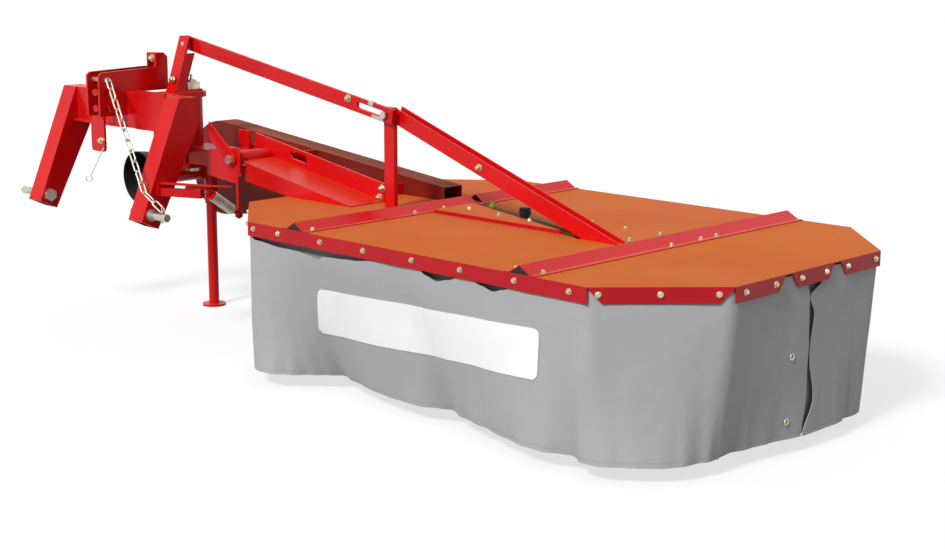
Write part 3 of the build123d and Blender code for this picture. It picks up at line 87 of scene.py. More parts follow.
class Graph:
    """Short way of writing one shader node tree."""

    # Numbers of the Mix node's sockets for its factor, both its colours and its mixed colour.
    MIX_FACTOR, MIX_FIRST, MIX_SECOND, MIX_RESULT = 0, 6, 7, 2
    BEVEL_SAMPLES = 4

    def __init__(self, tree: bpy.types.NodeTree) -> None:
        """Keeps the tree that the nodes go into."""
        self.tree = tree

    def feed(self, node: bpy.types.Node, inputs: Mapping) -> None:
        """Links sockets to a node's inputs, and sets plain values on them.

        Args:
            node: The node.
            inputs: Values or sockets by the name or number of the input.
        """
        for key, value in inputs.items():
            if isinstance(value, Socket):
                self.tree.links.new(value, node.inputs[key])
            else:
                node.inputs[key].default_value = value

    def node(self, kind: str, inputs: Mapping | None = None, **settings: object) -> bpy.types.Node:
        """Adds a node.

        Args:
            kind: Blender's name of the node type.
            inputs: Values or sockets by the name or number of the input.
            settings: Properties of the node itself.

        Returns:
            The new node.
        """
        made = self.tree.nodes.new(kind)
        for key, value in settings.items():
            setattr(made, key, value)
        self.feed(made, inputs or {})
        return made

    def math(self, operation: str, *values: object) -> Socket:
        """Adds a Math node and returns its result."""
        return self.node("ShaderNodeMath", dict(enumerate(values)), operation=operation).outputs[0]

    def mix(self, factor: object, first: object, second: object) -> Socket:
        """Mixes two colours, of which any may be a socket, by the second one's share."""
        inputs = {self.MIX_FACTOR: factor}
        for slot, value in ((self.MIX_FIRST, first), (self.MIX_SECOND, second)):
            inputs[slot] = value if isinstance(value, Socket) else (*value, 1.0)
        return self.node("ShaderNodeMix", inputs, data_type="RGBA").outputs[self.MIX_RESULT]

    def ramp(self, value: Socket, low: object, high: object) -> Socket:
        """Turns a value into a smooth mask that rises from low to high."""
        inputs = {"Value": value, "From Min": low, "From Max": high}
        return self.node("ShaderNodeMapRange", inputs, interpolation_type="SMOOTHSTEP").outputs[0]

    def place(self, kind: str = "Object") -> Socket:
        """Adds a Texture Coordinate node and returns one kind of coordinate."""
        return self.node("ShaderNodeTexCoord").outputs[kind]

    def part(self, vector: Socket, axis: str) -> Socket:
        """Takes one part of a vector."""
        return self.node("ShaderNodeSeparateXYZ", {0: vector}).outputs[axis]

    def facing(self) -> Socket:
        """Adds a Geometry node and returns the normal."""
        return self.node("ShaderNodeNewGeometry").outputs["Normal"]

    def rounded(self, radius: Socket) -> Socket:
        """Adds a Bevel node and returns the normal with its edges rounded."""
        return self.node("ShaderNodeBevel", {"Radius": radius}, samples=self.BEVEL_SAMPLES).outputs[0]

    def grain(self, place: Socket, scale: object, detail: object, distortion: float = 0.0) -> Socket:
        """Adds a Noise Texture, read at a place, and returns its value."""
        inputs = {"Vector": place, "Scale": scale, "Detail": detail, "Distortion": distortion}
        return self.node("ShaderNodeTexNoise", inputs).outputs["Fac"]


@dataclass
class Effect:
    """Shader node group that several finishes share, built when it is first placed."""

    name: str
    inputs: dict[str, float]
    result: str
    fill: Callable[[Graph, Sockets], Socket]
    kind: str = "NodeSocketFloat"
    tree: bpy.types.NodeTree | None = None

    def build(self) -> None:
        """Makes the group with its named sockets."""
        self.tree = bpy.data.node_groups.new(self.name, "ShaderNodeTree")
        new_socket = self.tree.interface.new_socket
        for label, default in self.inputs.items():
            new_socket(label, in_out="INPUT", socket_type="NodeSocketFloat").default_value = default
        new_socket(self.result, in_out="OUTPUT", socket_type=self.kind)
        graph = Graph(self.tree)
        given = graph.node("NodeGroupInput").outputs
        graph.node("NodeGroupOutput", {0: self.fill(graph, given)})

    def place(self, graph: Graph, **values: float) -> Socket:
        """Places the group in a material.

        Args:
            graph: The material's graph.
            values: Values of the group's inputs, by name.

        Returns:
            The group's only output.
        """
        if self.tree is None:
            self.build()
        return graph.node("ShaderNodeGroup", values, node_tree=self.tree).outputs[0]


def worn_edges(graph: Graph, given: Sockets) -> Socket:
    """Mask that is 1 along convex and concave edges, broken up, and 0 on flat faces."""
    normals = {0: graph.rounded(given["Radius"]), 1: graph.facing()}
    dot = graph.node("ShaderNodeVectorMath", normals, operation="DOT_PRODUCT")
    bend = graph.math("SUBTRACT", 1.0, dot.outputs["Value"])
    grit = graph.grain(graph.place(), given["Breakup"], detail=6.0)
    left = graph.ramp(grit, low=0.42, high=0.68)
    return graph.math("MULTIPLY", graph.ramp(bend, low=0.02, high=0.2), left)


def slow_clouds(graph: Graph, given: Sockets) -> Socket:
    """Slow cloudy value about 0.5 for uneven colour and gloss."""
    cloud = graph.grain(graph.place(), given["Scale"], given["Detail"], distortion=0.6)
    return graph.ramp(cloud, low=0.3, high=0.7)


def upward_faces(graph: Graph, given: Sockets) -> Socket:
    """Mask of the faces that look up, for the painted sky reflection on enamel and for dust."""
    return graph.ramp(graph.part(graph.facing(), "Z"), given["Start"], given["End"])


def sprayed_skin(graph: Graph, given: Sockets) -> Socket:
    """Normal of a sprayed or moulded surface with softened edges and a slow wave."""
    peel = graph.grain(graph.place(), given["Scale"], detail=2.0)
    wave = graph.grain(graph.place(), scale=5.0, detail=1.0)
    height = graph.math(
        "ADD",
        graph.math("MULTIPLY", peel, given["Height"]),
        graph.math("MULTIPLY", wave, given["Wave"]),
    )
    inputs = {"Distance": 1.0, "Height": height, "Normal": graph.rounded(given["Radius"])}
    return graph.node("ShaderNodeBump", inputs).outputs[0]


def crossed_threads(graph: Graph, given: Sockets) -> Socket:
    """Height of a plain weave on a piece's own UV map, which is in metres."""
    place = graph.place("UV")
    turns = []
    for axis in ("X", "Y"):
        phase = graph.math("MULTIPLY", graph.part(place, axis), given["Threads"])
        turns.append(graph.math("SINE", graph.math("MULTIPLY", phase, math.tau)))
    cross = graph.math("MULTIPLY", graph.math("MULTIPLY", *turns), 0.5)
    slub = graph.math("MULTIPLY", graph.grain(place, scale=90.0, detail=4.0), given["Slub"])
    return graph.math("ADD", cross, slub)


EDGE_WEAR = Effect("edge_wear", {"Radius": 0.004, "Breakup": 60.0}, "Mask", worn_edges)
MOTTLE = Effect("mottle", {"Scale": 3.0, "Detail": 5.0}, "Value", slow_clouds)
SKYWARD = Effect("skyward", {"Start": 0.8, "End": 0.97}, "Mask", upward_faces)
SKIN = Effect(
    "skin", {"Radius": 0.0015, "Scale": 240.0, "Height": 0.00006, "Wave": 0.0004},
    "Normal", sprayed_skin, kind="NodeSocketVector",
)
WEAVE = Effect("weave", {"Threads": 700.0, "Slub": 0.3}, "Height", crossed_threads)


def new_material(name: str, surface: Callable[[Graph], dict[str, object]]) -> bpy.types.Material:
    """Makes a node material.

    Args:
        name: The material's name.
        surface: Gives what its surface shader is fed, by the name of the input.

    Returns:
        The material.
    """
    material = bpy.data.materials.new(name)
    material.use_nodes = True
    graph = Graph(material.node_tree)
    graph.feed(graph.tree.nodes["Principled BSDF"], surface(graph))
    return material


@dataclass(frozen=True)
class Finish:
    """What every finish has: a name, a colour and the shade of its clouds or stains."""

    name: str
    colour: Colour
    shade: Colour

    def surface(self, graph: Graph) -> dict[str, object]:
        """What the surface shader is fed; each kind of finish has its own."""
        raise NotImplementedError

    def build(self) -> bpy.types.Material:
        """Makes the material."""
        return new_material(self.name, self.surface)


@dataclass(frozen=True)
class Enamel(Finish):
    """Gloss enamel over steel, with a painted orange sky reflection where it looks up, and worn at its
    edges.
    """

    painted_sheen_colour: Colour
    painted_sheen_share: float = 1.0
    patchiness: float = 0.22
    patch_drop: float = 0.2
    roughness: float = 0.22
    unevenness: float = 0.08
    dulling: float = 0.1
    wear: float = 0.35
    wear_radius: float = 0.003
    wear_dulling: float = 0.3
    primer: Colour = (0.16, 0.05, 0.04)
    specular: float = 0.22

    def surface(self, graph: Graph) -> dict[str, object]:
        """Clouded paint with a painted orange sky reflection in patches on upper faces, and primer at
        its worn edges.
        """
        cloud = MOTTLE.place(graph, Scale=2.6)
        paint = graph.mix(cloud, self.colour, self.shade)
        # Painted reflection: upward faces are mixed towards an orange colour that stands for the sky's
        # glossy reflection.
        up = SKYWARD.place(graph, Start=0.93, End=0.995)
        patches = MOTTLE.place(graph, Scale=1.3)
        painted_sheen = graph.math("MULTIPLY_ADD", patches, self.patchiness, self.painted_sheen_share - self.patch_drop)
        paint = graph.mix(graph.math("MULTIPLY", up, painted_sheen), paint, self.painted_sheen_colour)
        worn = EDGE_WEAR.place(graph, Radius=self.wear_radius)
        worn = graph.math("MULTIPLY", worn, self.wear)
        gloss = graph.math("MULTIPLY_ADD", cloud, self.unevenness, self.roughness)
        gloss = graph.math("MULTIPLY_ADD", up, self.dulling, gloss)
        return {
            "Base Color": graph.mix(worn, paint, self.primer),
            "Roughness": graph.math("MULTIPLY_ADD", worn, self.wear_dulling, gloss),
            "Normal": SKIN.place(graph),
            "Specular IOR Level": self.specular,
        }


@dataclass(frozen=True)
class Plated(Finish):
    """Bright or yellow-passivated zinc, or bare worn steel."""

    roughness: float = 0.3
    unevenness: float = 0.22
    metallic: float = 1.0
    spangle_scale: float = 30.0
    brightening: float = 1.25

    def surface(self, graph: Graph) -> dict[str, object]:
        """Spangled and stained metal, brighter at its worn edges."""
        spangle = MOTTLE.place(graph, Scale=self.spangle_scale, Detail=8.0)
        worn = EDGE_WEAR.place(graph, Radius=0.0012, Breakup=200.0)
        bright = tuple(min(1.0, self.brightening * part) for part in self.colour)
        return {
            "Base Color": graph.mix(worn, graph.mix(spangle, self.colour, self.shade), bright),
            "Roughness": graph.math("MULTIPLY_ADD", spangle, self.unevenness, self.roughness),
            "Normal": SKIN.place(graph, Radius=0.0008, Scale=600.0, Wave=0.0),
            "Metallic": self.metallic,
        }


@dataclass(frozen=True)
class Moulded(Finish):
    """Plastic, rubber or vinyl, clouded all over and dusty in its shade where it looks up."""

    roughness: float = 0.38
    specular: float = 0.2
    cloud_scale: float = 9.0
    cloud_detail: float = 5.0
    clouding: float = 0.15
    dust: float = 0.5
    unevenness: float = 0.2
    skin_scale: float = 900.0
    wave: float = 0.0004

    def surface(self, graph: Graph) -> dict[str, object]:
        """Clouded colour with a fine skin."""
        cloud = MOTTLE.place(graph, Scale=self.cloud_scale, Detail=self.cloud_detail)
        up = SKYWARD.place(graph, Start=0.2, End=0.95)
        shaded = graph.math("MULTIPLY", cloud, graph.math("MULTIPLY_ADD", up, self.dust, self.clouding))
        return {
            "Base Color": graph.mix(shaded, self.colour, self.shade),
            "Roughness": graph.math("MULTIPLY_ADD", cloud, self.unevenness, self.roughness),
            "Normal": SKIN.place(graph, Scale=self.skin_scale, Wave=self.wave),
            "Specular IOR Level": self.specular,
        }


@dataclass(frozen=True)
class CoatedCloth(Finish):
    """Grey coated fabric with a fine weave, faint stains, a stitched hem and a soft sheen."""

    roughness: float = 0.62
    unevenness: float = 0.15
    smear_share: float = 0.35
    gap_shade: float = 0.86
    sheen: float = 0.08
    threads: float = 420.0
    thread_height: float = 0.00012
    stain_height: float = 0.0006
    hem_line: float = 0.014
    stitch_pitch: float = 0.005
    stitch_share: float = 0.62
    stitch_half_width: float = 0.0011
    stitch_height: float = 0.0007

    def stitches(self, graph: Graph) -> Socket:
        """Mask of the row of stitches above the hem."""
        place = graph.place("UV")
        above = graph.math("SUBTRACT", graph.part(place, "Y"), self.hem_line)
        on_line = graph.math("LESS_THAN", graph.math("ABSOLUTE", above), self.stitch_half_width)
        pitch = graph.math("FRACT", graph.math("DIVIDE", graph.part(place, "X"), self.stitch_pitch))
        return graph.math("MULTIPLY", on_line, graph.math("LESS_THAN", pitch, self.stitch_share))

    def surface(self, graph: Graph) -> dict[str, object]:
        """Woven cloth under slow stains, with its weave and stitches in relief."""
        cloud = MOTTLE.place(graph, Scale=2.2, Detail=7.0)
        smear = MOTTLE.place(graph, Scale=11.0, Detail=9.0)
        tone = graph.math("MULTIPLY", cloud, 1 - self.smear_share)
        tone = graph.math("MULTIPLY_ADD", smear, self.smear_share, tone)
        threads = WEAVE.place(graph, Threads=self.threads)
        between_threads = tuple(part * self.gap_shade for part in self.shade)
        woven = graph.mix(graph.ramp(threads, low=-0.4, high=0.7), between_threads, self.colour)
        relief = graph.math("MULTIPLY", threads, self.thread_height)
        relief = graph.math("MULTIPLY_ADD", self.stitches(graph), self.stitch_height, relief)
        relief = graph.math("ADD", relief, graph.math("MULTIPLY", smear, self.stain_height))
        bump = graph.node("ShaderNodeBump", {"Distance": 1.0, "Height": relief})
        return {
            "Base Color": graph.mix(tone, woven, self.shade),
            "Roughness": graph.math("MULTIPLY_ADD", tone, self.unevenness, self.roughness),
            "Normal": bump.outputs[0],
            "Sheen Weight": self.sheen,
        }


class Finishes:
    """Every finish of the mower, made once and looked up by the part that wears it."""

    # The third colour of each enamel is its painted orange sky reflection on upward faces.
    RED = Enamel("red_enamel", (0.64, 0.004, 0.005), (0.54, 0.003, 0.004), (0.70, 0.06, 0.010), painted_sheen_share=0.5)
    COVER = Enamel(
        "cover_enamel", (0.50, 0.005, 0.012), (0.43, 0.004, 0.010), (0.55, 0.125, 0.008),
        painted_sheen_share=0.95, dulling=0.42, wear=0.12,
    )
    # Painted shade: a darker copy of the red enamel for the belt guard, which the light reaches less.
    SHADED_GUARD = Enamel(
        "guard_enamel_painted_shade", (0.24, 0.013, 0.006), (0.15, 0.010, 0.005), (0.30, 0.09, 0.05),
        painted_sheen_share=0.9, roughness=0.5, dulling=0.3,
    )
    # Painted shade: dark brown strip that stands for the shade in the recessed groove.
    GROOVE_SHADE = Moulded("groove_painted_shade", (0.085, 0.034, 0.006), (0.13, 0.08, 0.02), roughness=0.75)
    ZINC = Plated("zinc", (0.62, 0.62, 0.58), (0.50, 0.47, 0.34))
    YELLOW_ZINC = Plated("yellow_zinc", (0.66, 0.60, 0.38), (0.46, 0.44, 0.30), roughness=0.26)
    STEEL = Plated("worn_steel", (0.30, 0.29, 0.28), (0.16, 0.14, 0.13), roughness=0.42)
    PLASTIC = Moulded("black_plastic", (0.012, 0.013, 0.012), (0.05, 0.05, 0.04))
    GREEN_PLUG = Moulded("green_plug", (0.30, 0.36, 0.02), (0.35, 0.34, 0.12))
    CLOTH = CoatedCloth("skirt_cloth", (0.455, 0.455, 0.455), (0.395, 0.395, 0.395))
    VINYL = Moulded(
        "blank_panel_vinyl", (0.98, 0.98, 0.98), (0.9506, 0.9506, 0.9506), roughness=0.4, specular=0.5,
        cloud_scale=6.0, cloud_detail=6.0, clouding=1.0, dust=0.0, unevenness=0.12, skin_scale=500.0,
        wave=0.0006,
    )

    def __init__(self) -> None:
        """Starts with nothing made."""
        self._made: dict[str, bpy.types.Material] = {}

    def get(self, finish: Finish) -> bpy.types.Material:
        """Gives the material of a finish, and builds it the first time."""
        if finish.name not in self._made:
            self._made[finish.name] = finish.build()
        return self._made[finish.name]


def add_object(name: str, data: bpy.types.ID) -> bpy.types.Object:
    """Links a new object of some data to the scene."""
    made = bpy.data.objects.new(name, data)
    bpy.context.scene.collection.objects.link(made)
    return made


def mesh_data(name: str, mesh: Mesh, material: bpy.types.Material) -> bpy.types.Mesh:
    """Turns a bmesh, which is freed, into mesh data that wears a material."""
    data = bpy.data.meshes.new(name)
    mesh.to_mesh(data)
    mesh.free()
    data.materials.append(material)
    return data


@dataclass
class Workshop:
    """What every sub-assembly needs: the finishes, the cover's own frame and the list of pieces."""

    finishes: Finishes
    origin: Vector
    pieces: list[bpy.types.Object] = field(default_factory=list)

    def at(self, x: float, y: float, z: float) -> Vector:
        """Point from metres along, behind and above the cover's front corner on the floor."""
        return self.origin + Vector((x, y, z))

    def piece(
        self, name: str, mesh: Mesh, finish: Finish, body: str, slot: str, sharp_deg: float = 32.0
    ) -> bpy.types.Object:
        """Turns a finished bmesh into a piece that rides on a body.

        Args:
            name: The piece's name.
            mesh: The shape, in the row frame. It is freed.
            finish: The finish that it wears.
            body: The body that it moves with.
            slot: The record's material slot; not used.
            sharp_deg: Edges that bend more than this stay sharp.

        Returns:
            The new object.
        """
        limit = math.radians(sharp_deg)
        for face in mesh.faces:
            face.smooth = True
        for edge in mesh.edges:
            edge.smooth = edge.is_manifold and edge.calc_face_angle(0.0) < limit
        made = add_object(name, mesh_data(name, mesh, self.finishes.get(finish)))
        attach(made, body)
        self.pieces.append(made)
        LOG.info("piece %s: %d faces on %s", name, len(made.data.polygons), body)
        return made


def facing_matrix(place: Vector, way: Vector) -> Matrix:
    """Matrix whose origin is place and whose Z looks along way."""
    return Matrix.Translation(place) @ way.to_track_quat("Z", "Y").to_matrix().to_4x4()


def linked_edges(verts: Iterable[bmesh.types.BMVert]) -> set[bmesh.types.BMEdge]:
    """Every edge that ends at one of these vertices."""
    return {edge for vert in verts for edge in vert.link_edges}


def soften_edges(mesh: Mesh, edges: Iterable[bmesh.types.BMEdge], width: float) -> None:
    """Bevels some edges of a mesh with two segments."""
    bmesh.ops.bevel(
        mesh, geom=list(edges), offset=width, segments=2, profile=0.5, affect="EDGES", material=-1
    )


def add_box(mesh: Mesh, place: Matrix, size: Point, soften: float) -> None:
    """Adds a box with softened edges.

    Args:
        mesh: The bmesh that it goes into.
        place: Its middle and its turn.
        size: Its three sides.
        soften: Width of its bevelled edges.
    """
    made = bmesh.ops.create_cube(mesh, size=1.0, matrix=place @ Matrix.Diagonal((*size, 1.0)))
    soften_edges(mesh, linked_edges(made["verts"]), soften)


def give_wall(piece: bpy.types.Object, thickness: float, outward: bool) -> None:
    """Gives a sheet its thickness, out of or behind its faces."""
    wall = piece.modifiers.new("thickness", "SOLIDIFY")
    wall.thickness = thickness
    wall.offset = 1.0 if outward else -1.0


@dataclass(frozen=True)
class Step:
    """One round or six-sided step of a turned piece, at a height above the piece's seat."""

    radius: float
    base: float
    height: float
    sides: int = 24
    soften: float = 0.001
    top_radius: float | None = None

    def add(self, mesh: Mesh, seat: Matrix) -> None:
        """Adds the step to a mesh, with the seat's Z as its axis."""
        place = seat @ Matrix.Translation((0, 0, self.base))
        made = bmesh.ops.create_cone(
            mesh, cap_ends=True, cap_tris=False, segments=self.sides, radius1=self.radius,
            radius2=self.top_radius or self.radius, depth=self.height,
            matrix=place @ Matrix.Translation((0, 0, self.height / 2)),
        )
        back = place.inverted()
        top = {vert for vert in made["verts"] if (back @ vert.co).z > self.height / 2}
        rim = [edge for edge in linked_edges(top) if top.issuperset(edge.verts)]
        soften_edges(mesh, rim, self.soften)


def turned_mesh(place: Vector, steps: Iterable[Step]) -> Mesh:
    """Upright turned piece that stands on a place."""
    mesh = bmesh.new()
    for step in steps:
        step.add(mesh, facing_matrix(place, Facing.UP.vector()))
    return mesh


@dataclass(frozen=True)
class Fastener:
    """One size of bolt or nut with its washer."""

    head: Head
    across: float
    height: float
    washer: float
    washer_depth: float = 0.0018
    thread: float = 0.004
    thread_reach: float = 1.35
    head_round: float = 0.22

    def add(self, mesh: Mesh, place: Vector, way: Vector, turn: float) -> None:
        """Adds one fastener.

        Args:
            mesh: The bmesh that it goes into.
            place: Where its washer sits.
            way: Direction out of the surface.
            turn: Turn of the head about its own axis, in radians.
        """
        seat = facing_matrix(place, way) @ Matrix.Rotation(turn, 4, "Z")
        corner = self.across / 2 / math.cos(math.pi / HEX_SIDES)
        above = self.washer_depth
        Step(self.washer, 0.0, above, sides=18, soften=0.0004).add(mesh, seat)
        Step(corner, above, self.height, HEX_SIDES, self.height * self.head_round).add(mesh, seat)
        if self.head is Head.LOCK_NUT:
            reach = self.height * self.thread_reach
            Step(self.thread, above, reach, sides=12, soften=0.0007).add(mesh, seat)

    def add_row(self, mesh: Mesh, places: Iterable[Vector], way: Vector, turn: float) -> None:
        """Adds a row of fasteners, each turned further than the one before it."""
        for index, place in enumerate(places):
            self.add(mesh, place, way, turn * index)


FLANGE_BOLT = Fastener(Head.BOLT, across=0.0115, height=0.0058, washer=0.0088)
PLATE_BOLT = Fastener(Head.LOCK_NUT, across=0.0115, height=0.0055, washer=0.0088)
FRAME_BOLT = Fastener(
    Head.LOCK_NUT, across=0.017, height=0.009, washer=0.0135, washer_depth=0.0025, thread=0.006
)


@dataclass(frozen=True)
class Ripple:
    """One size of unevenness in the cloth, with its waves in a metre along and in the drop."""

    height: float
    along: float
    down: float
    layer: float
    slant: float = 0.0

    def at(self, along: float, down: float, seed: float) -> float:
        """Height of the ripple at one point of a sheet."""
        across = along * self.along + down * self.slant + seed
        return self.height * noise.noise(Vector((across, down * self.down, self.layer)))


RIPPLES = (
    Ripple(0.007, 2.3, 1.1, 3.0),
    Ripple(0.0028, 8.0, 2.4, 9.0),
    Ripple(0.0006, 21.0, 3.0, 5.0, slant=6.0),
)
HEM_RIPPLE = Ripple(0.004, 5.0, 0.0, 1.0)
STRAIGHT_EDGE: Table = ((0.0, 0.0), (1.0, 0.0))


def spread(count: int) -> list[float]:
    """Even shares from -1 to 1."""
    return [2 * index / (count - 1) - 1 for index in range(count)]


def between(table: Sequence[Pair], along: float) -> float:
    """Value of a table of place and value, eased between its rows."""
    if along <= table[0][0]:
        return table[0][1]
    for (low, first), (high, second) in zip(table, table[1:]):
        if along <= high:
            share = (along - low) / (high - low)
            share = share * share * (3 - 2 * share)
            return first + (second - first) * share
    return table[-1][1]


@dataclass
class Cloth:
    """One sheet of the skirt, hung from the flange, with folds that grow towards its hem.

    Its tables hold metres along the sheet with how far inward the hem hangs or how far the upper
    edge dips there, and the share of the way down with the metres by which an edge strays.
    """

    name: str
    node: str | None
    corners: Table
    hem_offsets: Table
    gaps: Table = ((0.0, 0.0),)
    first_edge: Table = STRAIGHT_EDGE
    last_edge: Table = STRAIGHT_EDGE
    edge_reach: float = 0.14
    top: float = 0.532
    hem: float = 0.050
    inset: float = 0.0052
    thickness: float = 0.0024
    column: float = 0.009
    rows: int = 54
    corner_round_top: float = 0.02
    corner_round_hem: float = 0.05
    corner_samples: int = 9
    slope_step: float = 0.01
    slope_reach: float = 0.05
    fold_reach: float = 0.16
    fold_samples: int = 7
    trend_power: float = 1.25
    fold_power: float = 3.2
    grip: float = 0.2
    seed: float = 0.0

    def __post_init__(self) -> None:
        """Works out how far along the path each corner is."""
        self.stops = [0.0]
        for start, end in zip(self.corners, self.corners[1:]):
            self.stops.append(self.stops[-1] + (Vector(end) - Vector(start)).length)

    @property
    def length(self) -> float:
        """Length of the path in plan."""
        return self.stops[-1]

    def on_path(self, along: float) -> Vector:
        """Point in plan on the flange's line."""
        along = min(max(along, 0.0), self.length)
        index = next(index for index, stop in enumerate(self.stops[1:]) if along <= stop)
        share = (along - self.stops[index]) / (self.stops[index + 1] - self.stops[index])
        return Vector(self.corners[index]).lerp(Vector(self.corners[index + 1]), share)

    def rounded(self, along: float, reach: float) -> Vector:
        """Point on the path with its corners rounded off over a reach each side."""
        reach = min(reach, along, self.length - along) if reach else 0.0
        shares = spread(self.corner_samples)
        points = (self.on_path(along + reach * share) for share in shares)
        return sum(points, Vector((0.0, 0.0))) / len(shares)

    def outward(self, along: float) -> Vector:
        """Unit vector out of the skirt, in plan."""
        ahead = self.rounded(min(along + self.slope_step, self.length), self.slope_reach)
        behind = self.rounded(max(along - self.slope_step, 0.0), self.slope_reach)
        tangent = (ahead - behind).normalized()
        return Vector((tangent.y, -tangent.x))

    def top_at(self, along: float) -> float:
        """Height of the cloth's upper edge, which dips between some bolts."""
        return self.top - between(self.gaps, along)

    def hem_trend(self, along: float) -> float:
        """Hem's distance inward without its folds."""
        shares = spread(self.fold_samples)
        offsets = (between(self.hem_offsets, along + self.fold_reach * share) for share in shares)
        return sum(offsets) / len(shares)

    def surface(self, along: float, down: float, lift: float = 0.0) -> Vector:
        """Works out where the cloth is.

        Args:
            along: Metres along the flange.
            down: Share of the way from the upper edge to the hem.
            lift: Metres out of the cloth.

        Returns:
            The point in the cover's frame.
        """
        along += between(self.first_edge, down) * max(0.0, 1 - along / self.edge_reach)
        left = self.length - along
        along += between(self.last_edge, down) * max(0.0, 1 - left / self.edge_reach)
        reach = self.corner_round_top + (self.corner_round_hem - self.corner_round_top) * down
        trend = self.hem_trend(along)
        fold = between(self.hem_offsets, along) - trend
        inward = trend * down ** self.trend_power + fold * down ** self.fold_power
        free = min(1.0, down / self.grip)
        wander = free * sum(ripple.at(along, down, self.seed) for ripple in RIPPLES)
        out = wander - inward - self.inset + lift
        plan = self.rounded(along, reach) + self.outward(along) * out
        height = self.top_at(along) * (1 - down) + self.hem * down
        height += down * HEM_RIPPLE.at(along, 0.0, self.seed)
        return Vector((plan.x, plan.y, height))

    def build(self, shop: Workshop) -> None:
        """Makes the sheet, which stands for its CAD node where it has one."""
        columns = round(self.length / self.column)
        mesh = bmesh.new()
        bmesh.ops.create_grid(mesh, x_segments=columns, y_segments=self.rows, size=0.5)
        layer = mesh.loops.layers.uv.new("UVMap")
        flat = {vert: (vert.co.x + 0.5, 0.5 - vert.co.y) for vert in mesh.verts}
        drop = self.top - self.hem
        for face in mesh.faces:
            for loop in face.loops:
                share, down = flat[loop.vert]
                loop[layer].uv = (share * self.length, (1 - down) * drop)
        for vert, (share, down) in flat.items():
            vert.co = shop.at(*self.surface(share * self.length, down))
        made = shop.piece(self.name, mesh, Finishes.CLOTH, "cutter", "skirt_fabric", SOFT_BEND_DEG)
        give_wall(made, self.thickness, outward=False)
        if self.node:
            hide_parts(self.node)


@dataclass
class BlankPanel:
    """Plain white panel with round corners, stuck on the front of the cloth."""

    # Metres along the cover and above the floor of its left and right corners.
    low: tuple[Pair, Pair] = ((0.561, 0.206), (1.539, 0.251))
    high: tuple[Pair, Pair] = ((0.621, 0.366), (1.553, 0.398))
    # Number of the sheet's corner where the straight front begins.
    front_corner: int = 2
    corner: float = 0.022
    lift: float = 0.0013
    thickness: float = 0.0006
    columns: int = 150
    rows: int = 26

    def build(self, shop: Workshop, cloth: Cloth) -> None:
        """Makes the panel on the cloth's own surface.

        Args:
            shop: The workshop.
            cloth: The sheet that carries the panel.
        """
        low_left, low_right, high_left, high_right = (Vector(c) for c in (*self.low, *self.high))
        width = (high_right - high_left).length
        depth = (high_left - low_left).length
        inner_x, inner_y = width / 2 - self.corner, depth / 2 - self.corner
        mesh = bmesh.new()
        bmesh.ops.create_grid(mesh, x_segments=self.columns, y_segments=self.rows, size=0.5)
        for vert in mesh.verts:
            across, above = vert.co.x * width, vert.co.y * depth
            beyond = Vector((abs(across) - inner_x, abs(above) - inner_y))
            if beyond.x > 0 and beyond.y > 0 and beyond.length > self.corner:
                held = beyond.normalized() * self.corner
                across = math.copysign(inner_x + held.x, across)
                above = math.copysign(inner_y + held.y, above)
            low = low_left.lerp(low_right, across / width + 0.5)
            high = high_left.lerp(high_right, across / width + 0.5)
            spot = low.lerp(high, above / depth + 0.5)
            along = cloth.stops[self.front_corner] + spot.x - cloth.corners[self.front_corner][0]
            top = cloth.top_at(along)
            down = (top - spot.y) / (top - cloth.hem)
            vert.co = shop.at(*cloth.surface(along, down, self.lift))
        made = shop.piece("blank_panel", mesh, Finishes.VINYL, "cutter", "skirt_fabric", SOFT_BEND_DEG)
        give_wall(made, self.thickness, outward=True)


